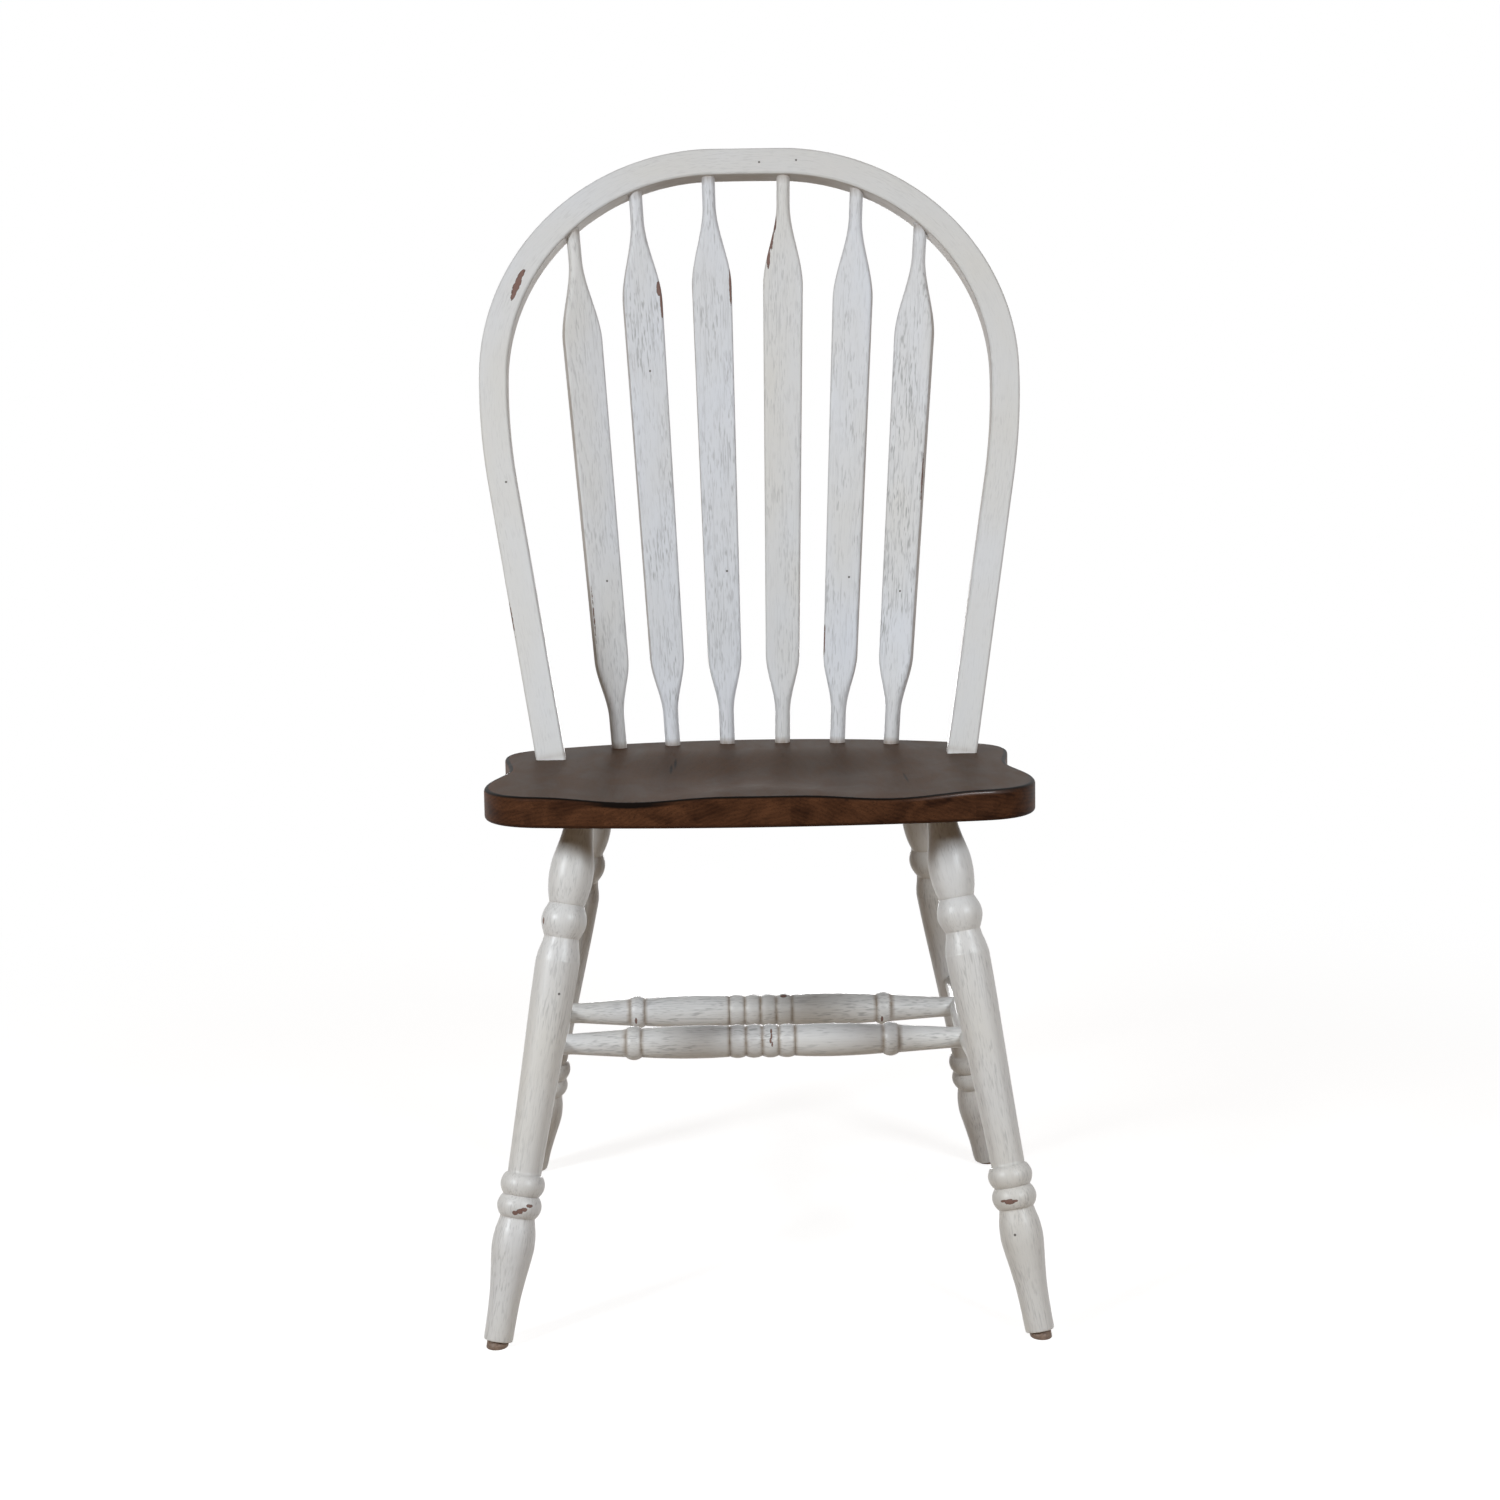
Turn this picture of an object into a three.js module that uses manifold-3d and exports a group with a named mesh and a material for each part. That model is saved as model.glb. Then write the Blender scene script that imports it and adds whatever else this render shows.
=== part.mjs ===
// A bow-back side chair with arrow spindles and a carved plank seat, built as its joiner builds it:
// every stick ends in a round tenon, and every tenon sits in a blind socket bored for it.
// Millimetres. Seen from the front, +X is to the right, +Y runs to the back and +Z is up; left and right
// in the names are meant so too. The chair stands on Z = 0, its origin under the middle of its outline.

import * as THREE from 'three';
import { mergeVertices } from 'three/addons/utils/BufferGeometryUtils.js';
import Module from 'manifold-3d';

const wasm = await Module();
wasm.setup();

const degrees = THREE.MathUtils.degToRad;

// Fits and cutting
const fitGap = 0.3;          // clearance round a tenon, past its end and under a shoulder
const cutterOverrun = 60;    // how far a cutter runs past the face that it opens or trims
const runOut = 7;            // a stick keeps its tenon's diameter this far outside its socket

// Seat
const seat = {
  frontHeight: 457.2,        // top of the front edge over the floor
  fall: degrees(3.1),        // the seat slopes down to the back
  width: 469,
  depth: 422,
  thickness: 25.6,
  topRound: 3.2,
  bottomRound: 2.4,
};

// The carved dish: two thigh scoops that open through the front edge and run together behind a ridge
const dish = {
  frontDepth: 4.2,
  depth: 10,
  deepest: 185,              // from the front edge
  endFromBack: 84,
  scoopCentre: 88,           // from the middle, at the front edge
  scoopHalfWidth: 75,
  mergedCentre: 52,          // the same two sizes at the deepest place
  mergedHalfWidth: 138,
  ridgeRound: 22,
};

// Bow: straight feet, long side curves, round shoulders and a flat crown, all in one raked plane
const bow = {
  footInset: 44,             // inwards from the line of the seat's widest sides
  footFromBack: 136,         // from the seat's back edge, along the seat
  rake: degrees(20.6),
  lean: degrees(9.6),
  footLength: 270,
  sideRadius: 633,
  crownHalfSpan: 30.5,       // the shoulders take up what is left of the width
  crownRise: 0.5,
  width: 27,
  depth: 21,
  edgeRound: 3.5,
  tenonDia: 17,
  tenonLength: 19,
};

// Spindles, measured along each one from the seat
const spindle = {
  count: 6,
  rowFromBack: 29.6,         // the row curves: its middle lies this far from the back edge
  rowRadius: 345,
  footPitch: 53.6,
  headPitch: 73,             // along the bow's inner face
  footDia: 14.4,
  headDia: 12.8,
  footDowel: 30,
  footSwell: 56,
  headDowel: 26,
  headSwell: 80,
  bladeWidthLow: 32.5,
  bladeWidthHigh: 38.4,
  bladeThickness: 11,
  footSocket: 17,
  headSocket: 16,
};

// Legs: places on the seat's underside and on the floor, outwards from the line of the seat's widest
// sides and back from its front edge, or for the rear legs from its back edge
const stance = {
  frontTop: [-82.5, 86],
  frontFoot: [-8.1, -22],
  rearTop: [-85.8, -91],
  rearFoot: [-6.1, -13.7],
};

// Leg turning, measured down the leg from the seat's underside; the foot is cut square to the leg
const leg = {
  tenonDia: 23.5,
  tenonLength: 17,
  cupLength: 75,
  cupDia: 37.4,
  grooveDia: 29.4,
  bulbLength: 28.5,
  bulbDia: 38.4,
  shaftLength: 199,
  shaftDia: 37.1,
  ankleDia: 28.2,            // at the low end of the shaft
  ringLength: 17.9,
  ringDia: 37.3,
  ringGrooveDia: 29.6,
  vaseLength: 109,
  vaseDia: 35.8,
  footDia: 24,
  footRound: 1.2,
};

// Stretchers
const sideStretcher = {
  height: 202,
  endDia: 18,
  midDia: 29,
  pastLegAxis: 4,
};
const crossStretcher = {
  frontSetBack: 169,         // from the seat's front edge
  rearFromBack: 153,         // from its back edge
  endDia: 18.6,
  neckDia: 25,
  pastSideAxis: 4,
  ringHalfSpan: 115,
  ringLength: 14,
  ringDia: 30.6,
  barrelDia: 28.6,
  barrelRootDia: 25,
  beadCount: 4,
  beadLength: 14.7,
  beadDia: 30,
  beadGrooveDia: 26.4,
};

// Glides: square to the leg above, level on the floor below
const glide = {
  dia: 18,
  height: 4.4,               // at the leg's axis
  nailDia: 2.4,
  nailLength: 15,
  nailSunk: 1.8,             // into the glide
};

// How finely round forms are divided
const legSides = 16;
const stretcherSides = 12;
const spindleSides = 12;
const glideSides = 16;
const seatPointsPerCurve = 5;
const seatRingShares = [0.12, 0.27, 0.42, 0.56, 0.69, 0.81, 0.91];
const bottomRingShare = 0.5;
const bowSteps = 60;
const bowCornerSteps = 1;
const cornerSteps = 2;
const beadSteps = 4;
const bulbSteps = 6;
const barrelSteps = 5;
const bladeSteps = 5;
const legSteps = 8;
const swellSteps = 10;

// Finishes
const finishes = {
  seat: { color: '#54483f', roughness: 0.36, metalness: 0 },
  painted: { color: '#cbcbc8', roughness: 0.5, metalness: 0 },
  glide: { color: '#6b5648', roughness: 0.55, metalness: 0 },
  steel: { color: '#9a9a98', roughness: 0.35, metalness: 1 },
};

const up = new THREE.Vector3(0, 0, 1);
const chair = new THREE.Group();

// Closed skins and solids

// A skin over rings that all have the same number of points; the first and last ring are closed.
function skinOver(rings) {
  const sides = rings[0].length;
  const points = rings.flat();
  const first = points.length;
  const centroid = (ring) => ring.reduce((sum, p) => sum.add(p), new THREE.Vector3()).divideScalar(sides);
  points.push(centroid(rings[0]), centroid(rings[rings.length - 1]));
  const index = [];
  for (let r = 0; r < rings.length - 1; r += 1) {
    for (let i = 0; i < sides; i += 1) {
      const next = (i + 1) % sides;
      const a = r * sides + i;
      const b = r * sides + next;
      index.push(a, b, b + sides, a, b + sides, a + sides);
    }
  }
  const last = (rings.length - 1) * sides;
  for (let i = 0; i < sides; i += 1) {
    const next = (i + 1) % sides;
    index.push(first, next, i);
    index.push(first + 1, last + i, last + next);
  }
  const geometry = new THREE.BufferGeometry();
  geometry.setAttribute('position', new THREE.Float32BufferAttribute(points.flatMap((p) => p.toArray()), 3));
  geometry.setIndex(index);
  return geometry;
}

function toSolid(geometry, matrix = new THREE.Matrix4()) {
  const bare = geometry.clone().applyMatrix4(matrix);
  bare.deleteAttribute('normal');
  bare.deleteAttribute('uv');
  const merged = mergeVertices(bare);
  return new wasm.Manifold(new wasm.Mesh({
    numProp: 3,
    vertProperties: new Float32Array(merged.attributes.position.array),
    triVerts: new Uint32Array(merged.index.array),
  }));
}

function toGeometry(solid) {
  const { vertProperties, triVerts } = solid.getMesh();
  const geometry = new THREE.BufferGeometry();
  geometry.setAttribute('position', new THREE.BufferAttribute(vertProperties, 3));
  geometry.setIndex(new THREE.BufferAttribute(triVerts, 1));
  return geometry;
}

// A named piece in the chair, placed by a matrix
function addPiece(name, geometry, finish, matrix = new THREE.Matrix4()) {
  const mesh = new THREE.Mesh(geometry, new THREE.MeshStandardMaterial(finishes[finish]));
  mesh.name = name;
  matrix.decompose(mesh.position, mesh.quaternion, mesh.scale);
  mesh.updateMatrix();
  chair.add(mesh);
  return mesh;
}

// Cuts cutters, each a geometry with its place in the chair, out of a piece
function cutFrom(mesh, cutters) {
  const toPiece = mesh.matrix.clone().invert();
  let solid = toSolid(mesh.geometry);
  for (const { geometry, matrix } of cutters) {
    solid = solid.subtract(toSolid(geometry, toPiece.clone().multiply(matrix)));
  }
  mesh.geometry = toGeometry(solid);
  mesh.geometry.computeVertexNormals();
}

// The place of a stick that starts at a point and runs along its own +Z towards another point
function along(from, to) {
  const turn = new THREE.Quaternion().setFromUnitVectors(up, to.clone().sub(from).normalize());
  return new THREE.Matrix4().compose(from, turn, new THREE.Vector3(1, 1, 1));
}

// A turned stick: pairs of distance along +Z and diameter, spun about Z
function turnedStick(profile, sides) {
  const outline = profile.map(([at, dia]) => new THREE.Vector2(dia / 2, at));
  outline.unshift(new THREE.Vector2(0, profile[0][0]));
  outline.push(new THREE.Vector2(0, profile[profile.length - 1][0]));
  return new THREE.LatheGeometry(outline, sides).rotateX(degrees(90));
}

// A straight socket cutter from one distance to another along the stick's own +Z
function socketCutter(start, end, dia, sides, matrix) {
  const length = Math.abs(end - start);
  const geometry = new THREE.CylinderGeometry(dia / 2, dia / 2, length, sides);
  geometry.rotateX(degrees(90)).translate(0, 0, (start + end) / 2);
  return { geometry, matrix };
}

// Profile pieces for turnings

// A curve through hand-picked shares: distance along the stretch, and swell from low to high diameter
function curved(start, length, lowDia, highDia, shares, steps) {
  const spline = new THREE.SplineCurve(shares.map(([x, y]) => new THREE.Vector2(x, y)));
  return spline.getPoints(steps).map((p) => [start + length * p.x, lowDia + (highDia - lowDia) * p.y]);
}

// A rounded bead between two grooves, without its first point where another form ends there. A full bead
// is nearly half round; one with fullness 1 runs into its grooves at a slope.
function bead(start, length, grooveDia, crownDia, fullness, steps) {
  const points = [];
  for (let i = 1; i < steps; i += 1) {
    const share = (1 - Math.cos(Math.PI * i / steps)) / 2;
    const swell = Math.sin(Math.PI * share) ** fullness;
    points.push([start + length * share, grooveDia + (crownDia - grooveDia) * swell]);
  }
  points.push([start + length, grooveDia]);
  return points;
}

// Seat, in its own level frame: X across, Y back from the front edge, Z up from the flat top
const seatPlace = new THREE.Matrix4().makeRotationX(-seat.fall);
seatPlace.setPosition(0, 0, seat.frontHeight);
const toSeat = seatPlace.clone().invert();
const onSeat = (x, y, z = 0) => new THREE.Vector3(x, y, z).applyMatrix4(seatPlace);

// Half outline as curves: front edge, front corner, waist, ear and back, in shares of the half width
// and the depth. Each row holds two handles and an end.
const seatCurveShares = [
  [[0.27, 0.000], [0.54, 0.014], [0.785, 0.041]],
  [[0.915, 0.055], [0.996, 0.120], [0.996, 0.237]],
  [[0.998, 0.320], [0.949, 0.400], [0.949, 0.468]],
  [[0.949, 0.535], [0.985, 0.620], [0.998, 0.700]],
  [[1.009, 0.775], [0.968, 0.826], [0.900, 0.848]],
  [[0.712, 0.928], [0.400, 1.000], [0, 1]],
];

function seatOutline() {
  const half = seat.width / 2;
  const path = new THREE.Path();
  path.moveTo(0, 0);
  for (const [a, b, end] of seatCurveShares) {
    const at = [a, b, end].flatMap(([x, y]) => [x * half, y * seat.depth]);
    path.bezierCurveTo(...at);
  }
  const right = path.getPoints(seatPointsPerCurve);
  const left = right.slice(1, -1).reverse().map((p) => new THREE.Vector2(-p.x, p.y));
  return right.concat(left);
}

const blend = (from, to, share) => from + (to - from) * share;

// Depth of the carving at a place on the seat
function carvedDepth(x, y) {
  const inward = THREE.MathUtils.clamp(y / dish.deepest, 0, 1);
  const backEnd = seat.depth - dish.endFromBack;
  const outward = THREE.MathUtils.clamp((y - dish.deepest) / (backEnd - dish.deepest), 0, 1);
  const share = THREE.MathUtils.smoothstep(inward, 0, 1);
  const depth = blend(dish.frontDepth, dish.depth, share) * Math.cos(outward * Math.PI / 2) ** 2;
  const centre = blend(dish.scoopCentre, dish.mergedCentre, share);
  const halfWidth = blend(dish.scoopHalfWidth, dish.mergedHalfWidth, share);
  const side = Math.hypot(x, dish.ridgeRound) - Math.hypot(0, dish.ridgeRound) * (1 - share);
  const off = THREE.MathUtils.clamp((side - centre) / halfWidth, -1, 1);
  return depth * Math.cos(off * Math.PI / 2) ** 2;
}

function seatGeometry() {
  const outline = seatOutline();
  const centre = new THREE.Vector2(0, seat.depth / 2);
  const inset = (p, by) => {
    const towards = centre.clone().sub(p);
    return p.clone().addScaledVector(towards, by / towards.length());
  };
  const ringAt = (place, height) => outline.map((p) => {
    const q = place(p);
    return new THREE.Vector3(q.x, q.y, height(q));
  });
  const carved = (q) => -carvedDepth(q.x, q.y);
  const flatBottom = () => -seat.thickness;
  const rings = [];
  for (const share of seatRingShares) {
    rings.push(ringAt((p) => centre.clone().lerp(inset(p, seat.topRound), share), carved));
  }
  for (let i = 0; i <= cornerSteps; i += 1) {
    const turn = Math.PI / 2 * i / cornerSteps;
    const by = seat.topRound * (1 - Math.sin(turn));
    const drop = seat.topRound * (1 - Math.cos(turn));
    rings.push(ringAt((p) => inset(p, by), (q) => carved(q) - drop));
  }
  for (let i = 0; i <= cornerSteps; i += 1) {
    const turn = Math.PI / 2 * i / cornerSteps;
    const by = seat.bottomRound * (1 - Math.cos(turn));
    const rise = seat.bottomRound * (1 - Math.sin(turn));
    rings.push(ringAt((p) => inset(p, by), () => rise - seat.thickness));
  }
  rings.push(ringAt((p) => centre.clone().lerp(p, bottomRingShare), flatBottom));
  return skinOver(rings.reverse());
}

// Bow, in its own plane: X across, Z up the rake, Y through its depth
const bowHalfSpan = seat.width / 2 - bow.footInset;
const bowPlace = new THREE.Matrix4().makeRotationX(-bow.rake);
bowPlace.setPosition(onSeat(0, seat.depth - bow.footFromBack));
const inBow = (x, z) => new THREE.Vector3(x, 0, z).applyMatrix4(bowPlace);

// Turning points of the bow's centre line on the right side
function bowLandmarks() {
  const footEnd = new THREE.Vector2(
    bowHalfSpan + bow.footLength * Math.sin(bow.lean),
    bow.footLength * Math.cos(bow.lean),
  );
  const sideTop = new THREE.Vector2(
    footEnd.x + bow.sideRadius * (1 - Math.cos(bow.lean)),
    footEnd.y + bow.sideRadius * Math.sin(bow.lean),
  );
  const shoulderCentre = new THREE.Vector2(bow.crownHalfSpan, sideTop.y);
  const shoulderRadius = sideTop.x - bow.crownHalfSpan;
  return { footEnd, sideTop, shoulderCentre, shoulderRadius };
}

class UprightArc extends THREE.Curve {
  constructor(centreX, centreZ, radius, from, to) {
    super();
    Object.assign(this, { centreX, centreZ, radius, from, to });
  }

  getPoint(t, target = new THREE.Vector3()) {
    const angle = blend(this.from, this.to, t);
    const x = this.centreX + this.radius * Math.cos(angle);
    return target.set(x, 0, this.centreZ + this.radius * Math.sin(angle));
  }
}

function bowCurve() {
  const { footEnd, sideTop, shoulderCentre, shoulderRadius } = bowLandmarks();
  const line = new THREE.CurvePath();
  const point = (x, z) => new THREE.Vector3(x, 0, z);
  const crownHeight = shoulderCentre.y + shoulderRadius;
  const crown = new THREE.QuadraticBezierCurve3(
    point(shoulderCentre.x, crownHeight),
    point(0, crownHeight + bow.crownRise),
    point(-shoulderCentre.x, crownHeight),
  );
  const sideCentre = sideTop.x - bow.sideRadius;
  const under = -seat.thickness;
  const sunk = bowHalfSpan + under * Math.tan(bow.lean);
  line.add(new THREE.LineCurve3(point(sunk, under), point(footEnd.x, footEnd.y)));
  line.add(new UprightArc(sideCentre, sideTop.y, bow.sideRadius, -bow.lean, 0));
  line.add(new UprightArc(shoulderCentre.x, sideTop.y, shoulderRadius, 0, Math.PI / 2));
  line.add(crown);
  line.add(new UprightArc(-shoulderCentre.x, sideTop.y, shoulderRadius, Math.PI / 2, Math.PI));
  line.add(new UprightArc(-sideCentre, sideTop.y, bow.sideRadius, Math.PI, Math.PI + bow.lean));
  line.add(new THREE.LineCurve3(point(-footEnd.x, footEnd.y), point(-sunk, under)));
  return line;
}

// A bar's section with eased corners
function easedSection(across, through, round) {
  const shape = new THREE.Shape();
  const x = across / 2;
  const y = through / 2;
  shape.moveTo(x, round - y);
  shape.lineTo(x, y - round);
  shape.absarc(x - round, y - round, round, 0, Math.PI / 2);
  shape.lineTo(round - x, y);
  shape.absarc(round - x, y - round, round, Math.PI / 2, Math.PI);
  shape.lineTo(-x, round - y);
  shape.absarc(round - x, round - y, round, Math.PI, Math.PI * 3 / 2);
  shape.lineTo(x - round, -y);
  shape.absarc(x - round, round - y, round, Math.PI * 3 / 2, Math.PI * 2);
  return shape;
}

// The bow's feet: the axis of each tenon, from the seat's top down into its socket
const bowFeet = [-1, 1].map((side) => {
  const foot = inBow(side * bowHalfSpan, 0);
  const higher = inBow(side * (bowHalfSpan + bow.footLength * Math.sin(bow.lean)),
    bow.footLength * Math.cos(bow.lean));
  return along(foot, foot.clone().multiplyScalar(2).sub(higher));
});

// Spindles: where each one leaves the seat and meets the bow's inner face
const { shoulderCentre, shoulderRadius } = bowLandmarks();
const innerRadius = shoulderRadius - bow.width / 2;
const spindleAxes = [];
for (let i = 0; i < spindle.count; i += 1) {
  const step = i - (spindle.count - 1) / 2;
  const turn = step * spindle.footPitch / spindle.rowRadius;
  const rowCentre = seat.depth - spindle.rowFromBack - spindle.rowRadius;
  const footX = spindle.rowRadius * Math.sin(turn);
  const footY = rowCentre + spindle.rowRadius * Math.cos(turn);
  const foot = onSeat(footX, footY, -carvedDepth(footX, footY));
  const reach = Math.abs(step) * spindle.headPitch;
  const onCrown = Math.min(reach, shoulderCentre.x);
  const swing = (reach - onCrown) / innerRadius;
  const headX = Math.sign(step) * (onCrown + innerRadius * Math.sin(swing));
  const head = inBow(headX, shoulderCentre.y + innerRadius * Math.cos(swing));
  spindleAxes.push({ foot, head, turn });
}

// A spindle's own frame: +Z up its length, blade facing square to the row
function spindlePlace({ foot, head, turn }) {
  const axis = head.clone().sub(foot).normalize();
  const outward = new THREE.Vector3(Math.sin(turn), Math.cos(turn), 0);
  const across = new THREE.Vector3().crossVectors(outward, axis).normalize();
  const through = new THREE.Vector3().crossVectors(axis, across);
  return new THREE.Matrix4().makeBasis(across, through, axis).setPosition(foot);
}

// How round a spindle's section is: 1 is an ellipse, 0 a sharp bar
const dowelRoundness = 1;
const bladeRoundness = 0.5;

function spindleGeometry(length) {
  const bladeEnd = length - spindle.headDowel - spindle.headSwell;
  const stations = [];
  const add = (at, share, lowDia, width) => stations.push({
    at,
    across: blend(lowDia, width, share),
    through: blend(lowDia, spindle.bladeThickness, share),
    flat: share,
  });
  add(-spindle.footSocket, 0, spindle.footDia, 0);
  add(spindle.footDowel, 0, spindle.footDia, 0);
  for (let i = 1; i <= bladeSteps; i += 1) {
    const t = i / bladeSteps;
    const at = spindle.footDowel + spindle.footSwell * t;
    add(at, THREE.MathUtils.smoothstep(t, 0, 1), spindle.footDia, spindle.bladeWidthLow);
  }
  for (let i = 0; i <= bladeSteps; i += 1) {
    const t = i / bladeSteps;
    const at = bladeEnd + spindle.headSwell * t;
    add(at, 1 - THREE.MathUtils.smoothstep(t, 0, 1), spindle.headDia, spindle.bladeWidthHigh);
  }
  add(length + spindle.headSocket, 0, spindle.headDia, 0);
  return skinOver(stations.map(({ at, across, through, flat }) => {
    const ring = [];
    for (let i = 0; i < spindleSides; i += 1) {
      const angle = 2 * Math.PI * (i + 0.5) / spindleSides;
      const power = blend(dowelRoundness, bladeRoundness, flat);
      const c = Math.cos(angle);
      const s = Math.sin(angle);
      const x = Math.sign(c) * Math.abs(c) ** power * across / 2;
      const y = Math.sign(s) * Math.abs(s) ** power * through / 2;
      ring.push(new THREE.Vector3(x, y, at));
    }
    return ring;
  }));
}

// Legs: axes from the seat's underside to the floor
function legAxis([topX, topY], [footX, footY], edge, side) {
  const half = seat.width / 2;
  const top = onSeat(side * (half + topX), edge + topY, -seat.thickness);
  return { top, foot: new THREE.Vector3(side * (half + footX), edge + footY, 0) };
}

// Shares for the curved stretches of the leg: distance along the stretch, swell between two diameters
const cupShares = [
  [0.05, 0], [0.16, 0.14], [0.3, 0.38], [0.45, 0.73], [0.55, 0.93], [0.66, 1], [0.76, 0.96], [0.88, 0.79], [1, 0.46],
];
const shaftShares = [
  [0, 0.13], [0.03, 0.36], [0.06, 0.7], [0.09, 0.93], [0.12, 1], [0.28, 0.88], [0.5, 0.57], [0.78, 0.21], [1, 0],
];
const vaseShares = [
  [0, 0.42], [0.05, 0.6], [0.12, 0.87], [0.22, 1], [0.31, 0.86], [0.45, 0.52], [0.6, 0.22], [0.75, 0.09], [1, 0],
];

// How full the beads are: the bulb runs into its grooves at a slope, the rings are nearly half round
const bulbFullness = 1;
const ringFullness = 0.75;

// The turning runs past the foot and is cut off where the leg ends
function legProfile(length) {
  const cupEnd = leg.cupLength;
  const bulbEnd = cupEnd + leg.bulbLength;
  const shaftEnd = bulbEnd + leg.shaftLength;
  const ringsEnd = shaftEnd + leg.ringLength * 2;
  const beyond = Math.max(length, ringsEnd + leg.vaseLength) + cutterOverrun;
  const whole = [
    [-leg.tenonLength, leg.tenonDia],
    ...curved(0, cupEnd, leg.tenonDia, leg.cupDia, cupShares, legSteps),
    ...bead(cupEnd, leg.bulbLength, leg.grooveDia, leg.bulbDia, bulbFullness, bulbSteps),
    ...curved(bulbEnd, leg.shaftLength, leg.ankleDia, leg.shaftDia, shaftShares, legSteps).slice(1),
    ...bead(shaftEnd, leg.ringLength, leg.ringGrooveDia, leg.ringDia, ringFullness, beadSteps),
    ...bead(shaftEnd + leg.ringLength, leg.ringLength, leg.ringGrooveDia, leg.ringDia, ringFullness, beadSteps),
    ...curved(ringsEnd, leg.vaseLength, leg.footDia, leg.vaseDia, vaseShares, legSteps).slice(1),
    [beyond, leg.footDia],
  ];
  const footStart = length - leg.footRound;
  const next = whole.findIndex(([at]) => at > footStart);
  const [[fromAt, fromDia], [toAt, toDia]] = whole.slice(next - 1, next + 1);
  const dia = blend(fromDia, toDia, (footStart - fromAt) / (toAt - fromAt));
  return [...whole.slice(0, next), [footStart, dia], [length, dia - leg.footRound * 2]];
}

// Stretchers, spun about their middle and closed at both tenons
const swellShares = [[0, 0], [0.12, 0.2], [0.3, 0.72], [0.5, 1], [0.7, 0.72], [0.88, 0.2], [1, 0]];

function sideStretcherProfile(halfLength, halfBare) {
  const bare = halfBare - runOut;
  return [
    [-halfLength, sideStretcher.endDia],
    ...curved(-bare, bare * 2, sideStretcher.endDia, sideStretcher.midDia, swellShares, swellSteps),
    [halfLength, sideStretcher.endDia],
  ];
}

const barrelShares = [[0, 0.12], [0.2, 0.58], [0.45, 0.94], [0.65, 1], [0.85, 0.86], [1, 0.55]];

function crossStretcherProfile(halfLength, halfBare) {
  const ringInner = crossStretcher.ringHalfSpan - crossStretcher.ringLength / 2;
  const ringOuter = crossStretcher.ringHalfSpan + crossStretcher.ringLength / 2;
  const beadsHalf = crossStretcher.beadCount * crossStretcher.beadLength / 2;
  const half = [];
  half.push([-halfLength, crossStretcher.endDia], [runOut - halfBare, crossStretcher.endDia]);
  half.push([-ringOuter, crossStretcher.neckDia]);
  half.push(...bead(-ringOuter, crossStretcher.ringLength, crossStretcher.barrelRootDia, crossStretcher.ringDia,
    ringFullness, beadSteps));
  const barrel = curved(-ringInner, ringInner - beadsHalf, crossStretcher.barrelRootDia,
    crossStretcher.barrelDia, barrelShares, barrelSteps);
  half.push(...barrel);
  const points = [...half];
  for (let i = 0; i < crossStretcher.beadCount; i += 1) {
    const start = crossStretcher.beadLength * i - beadsHalf;
    if (i === 0) {
      points.push([start, crossStretcher.beadGrooveDia]);
    }
    points.push(...bead(start, crossStretcher.beadLength, crossStretcher.beadGrooveDia, crossStretcher.beadDia,
      ringFullness, beadSteps));
  }
  points.push(...half.reverse().map(([at, dia]) => [-at, dia]));
  return points.filter(([at, dia], i) => i === 0 || at !== points[i - 1][0] || dia !== points[i - 1][1]);
}

// The point of an axis at a height over the floor
function atHeight({ top, foot }, height) {
  return foot.clone().lerp(top, height / top.z);
}

// The chair is put together from the legs up
const legAxes = {};
for (const [side, sign] of [['left', -1], ['right', 1]]) {
  legAxes[`front_${side}`] = legAxis(stance.frontTop, stance.frontFoot, 0, sign);
  legAxes[`rear_${side}`] = legAxis(stance.rearTop, stance.rearFoot, seat.depth, sign);
}

const seatSockets = [];
const legSockets = { front_left: [], front_right: [], rear_left: [], rear_right: [] };
const sideSockets = { left: [], right: [] };
const bowSockets = [];

// Side stretchers
const sideAxes = {};
for (const side of ['left', 'right']) {
  const front = atHeight(legAxes[`front_${side}`], sideStretcher.height);
  const rear = atHeight(legAxes[`rear_${side}`], sideStretcher.height);
  const middle = front.clone().lerp(rear, 0.5);
  const place = along(middle, rear);
  const halfSpan = front.distanceTo(rear) / 2;
  const halfLength = halfSpan + sideStretcher.pastLegAxis;
  const profile = sideStretcherProfile(halfLength, halfSpan - leg.shaftDia / 2);
  addPiece(`stretcher_side_${side}`, turnedStick(profile, stretcherSides), 'painted', place);
  const dia = sideStretcher.endDia + fitGap * 2;
  const end = halfLength + fitGap;
  const start = halfSpan - leg.shaftDia;
  legSockets[`front_${side}`].push(socketCutter(-end, -start, dia, stretcherSides, place));
  legSockets[`rear_${side}`].push(socketCutter(start, end, dia, stretcherSides, place));
  sideAxes[side] = { front, rear };
}

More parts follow.
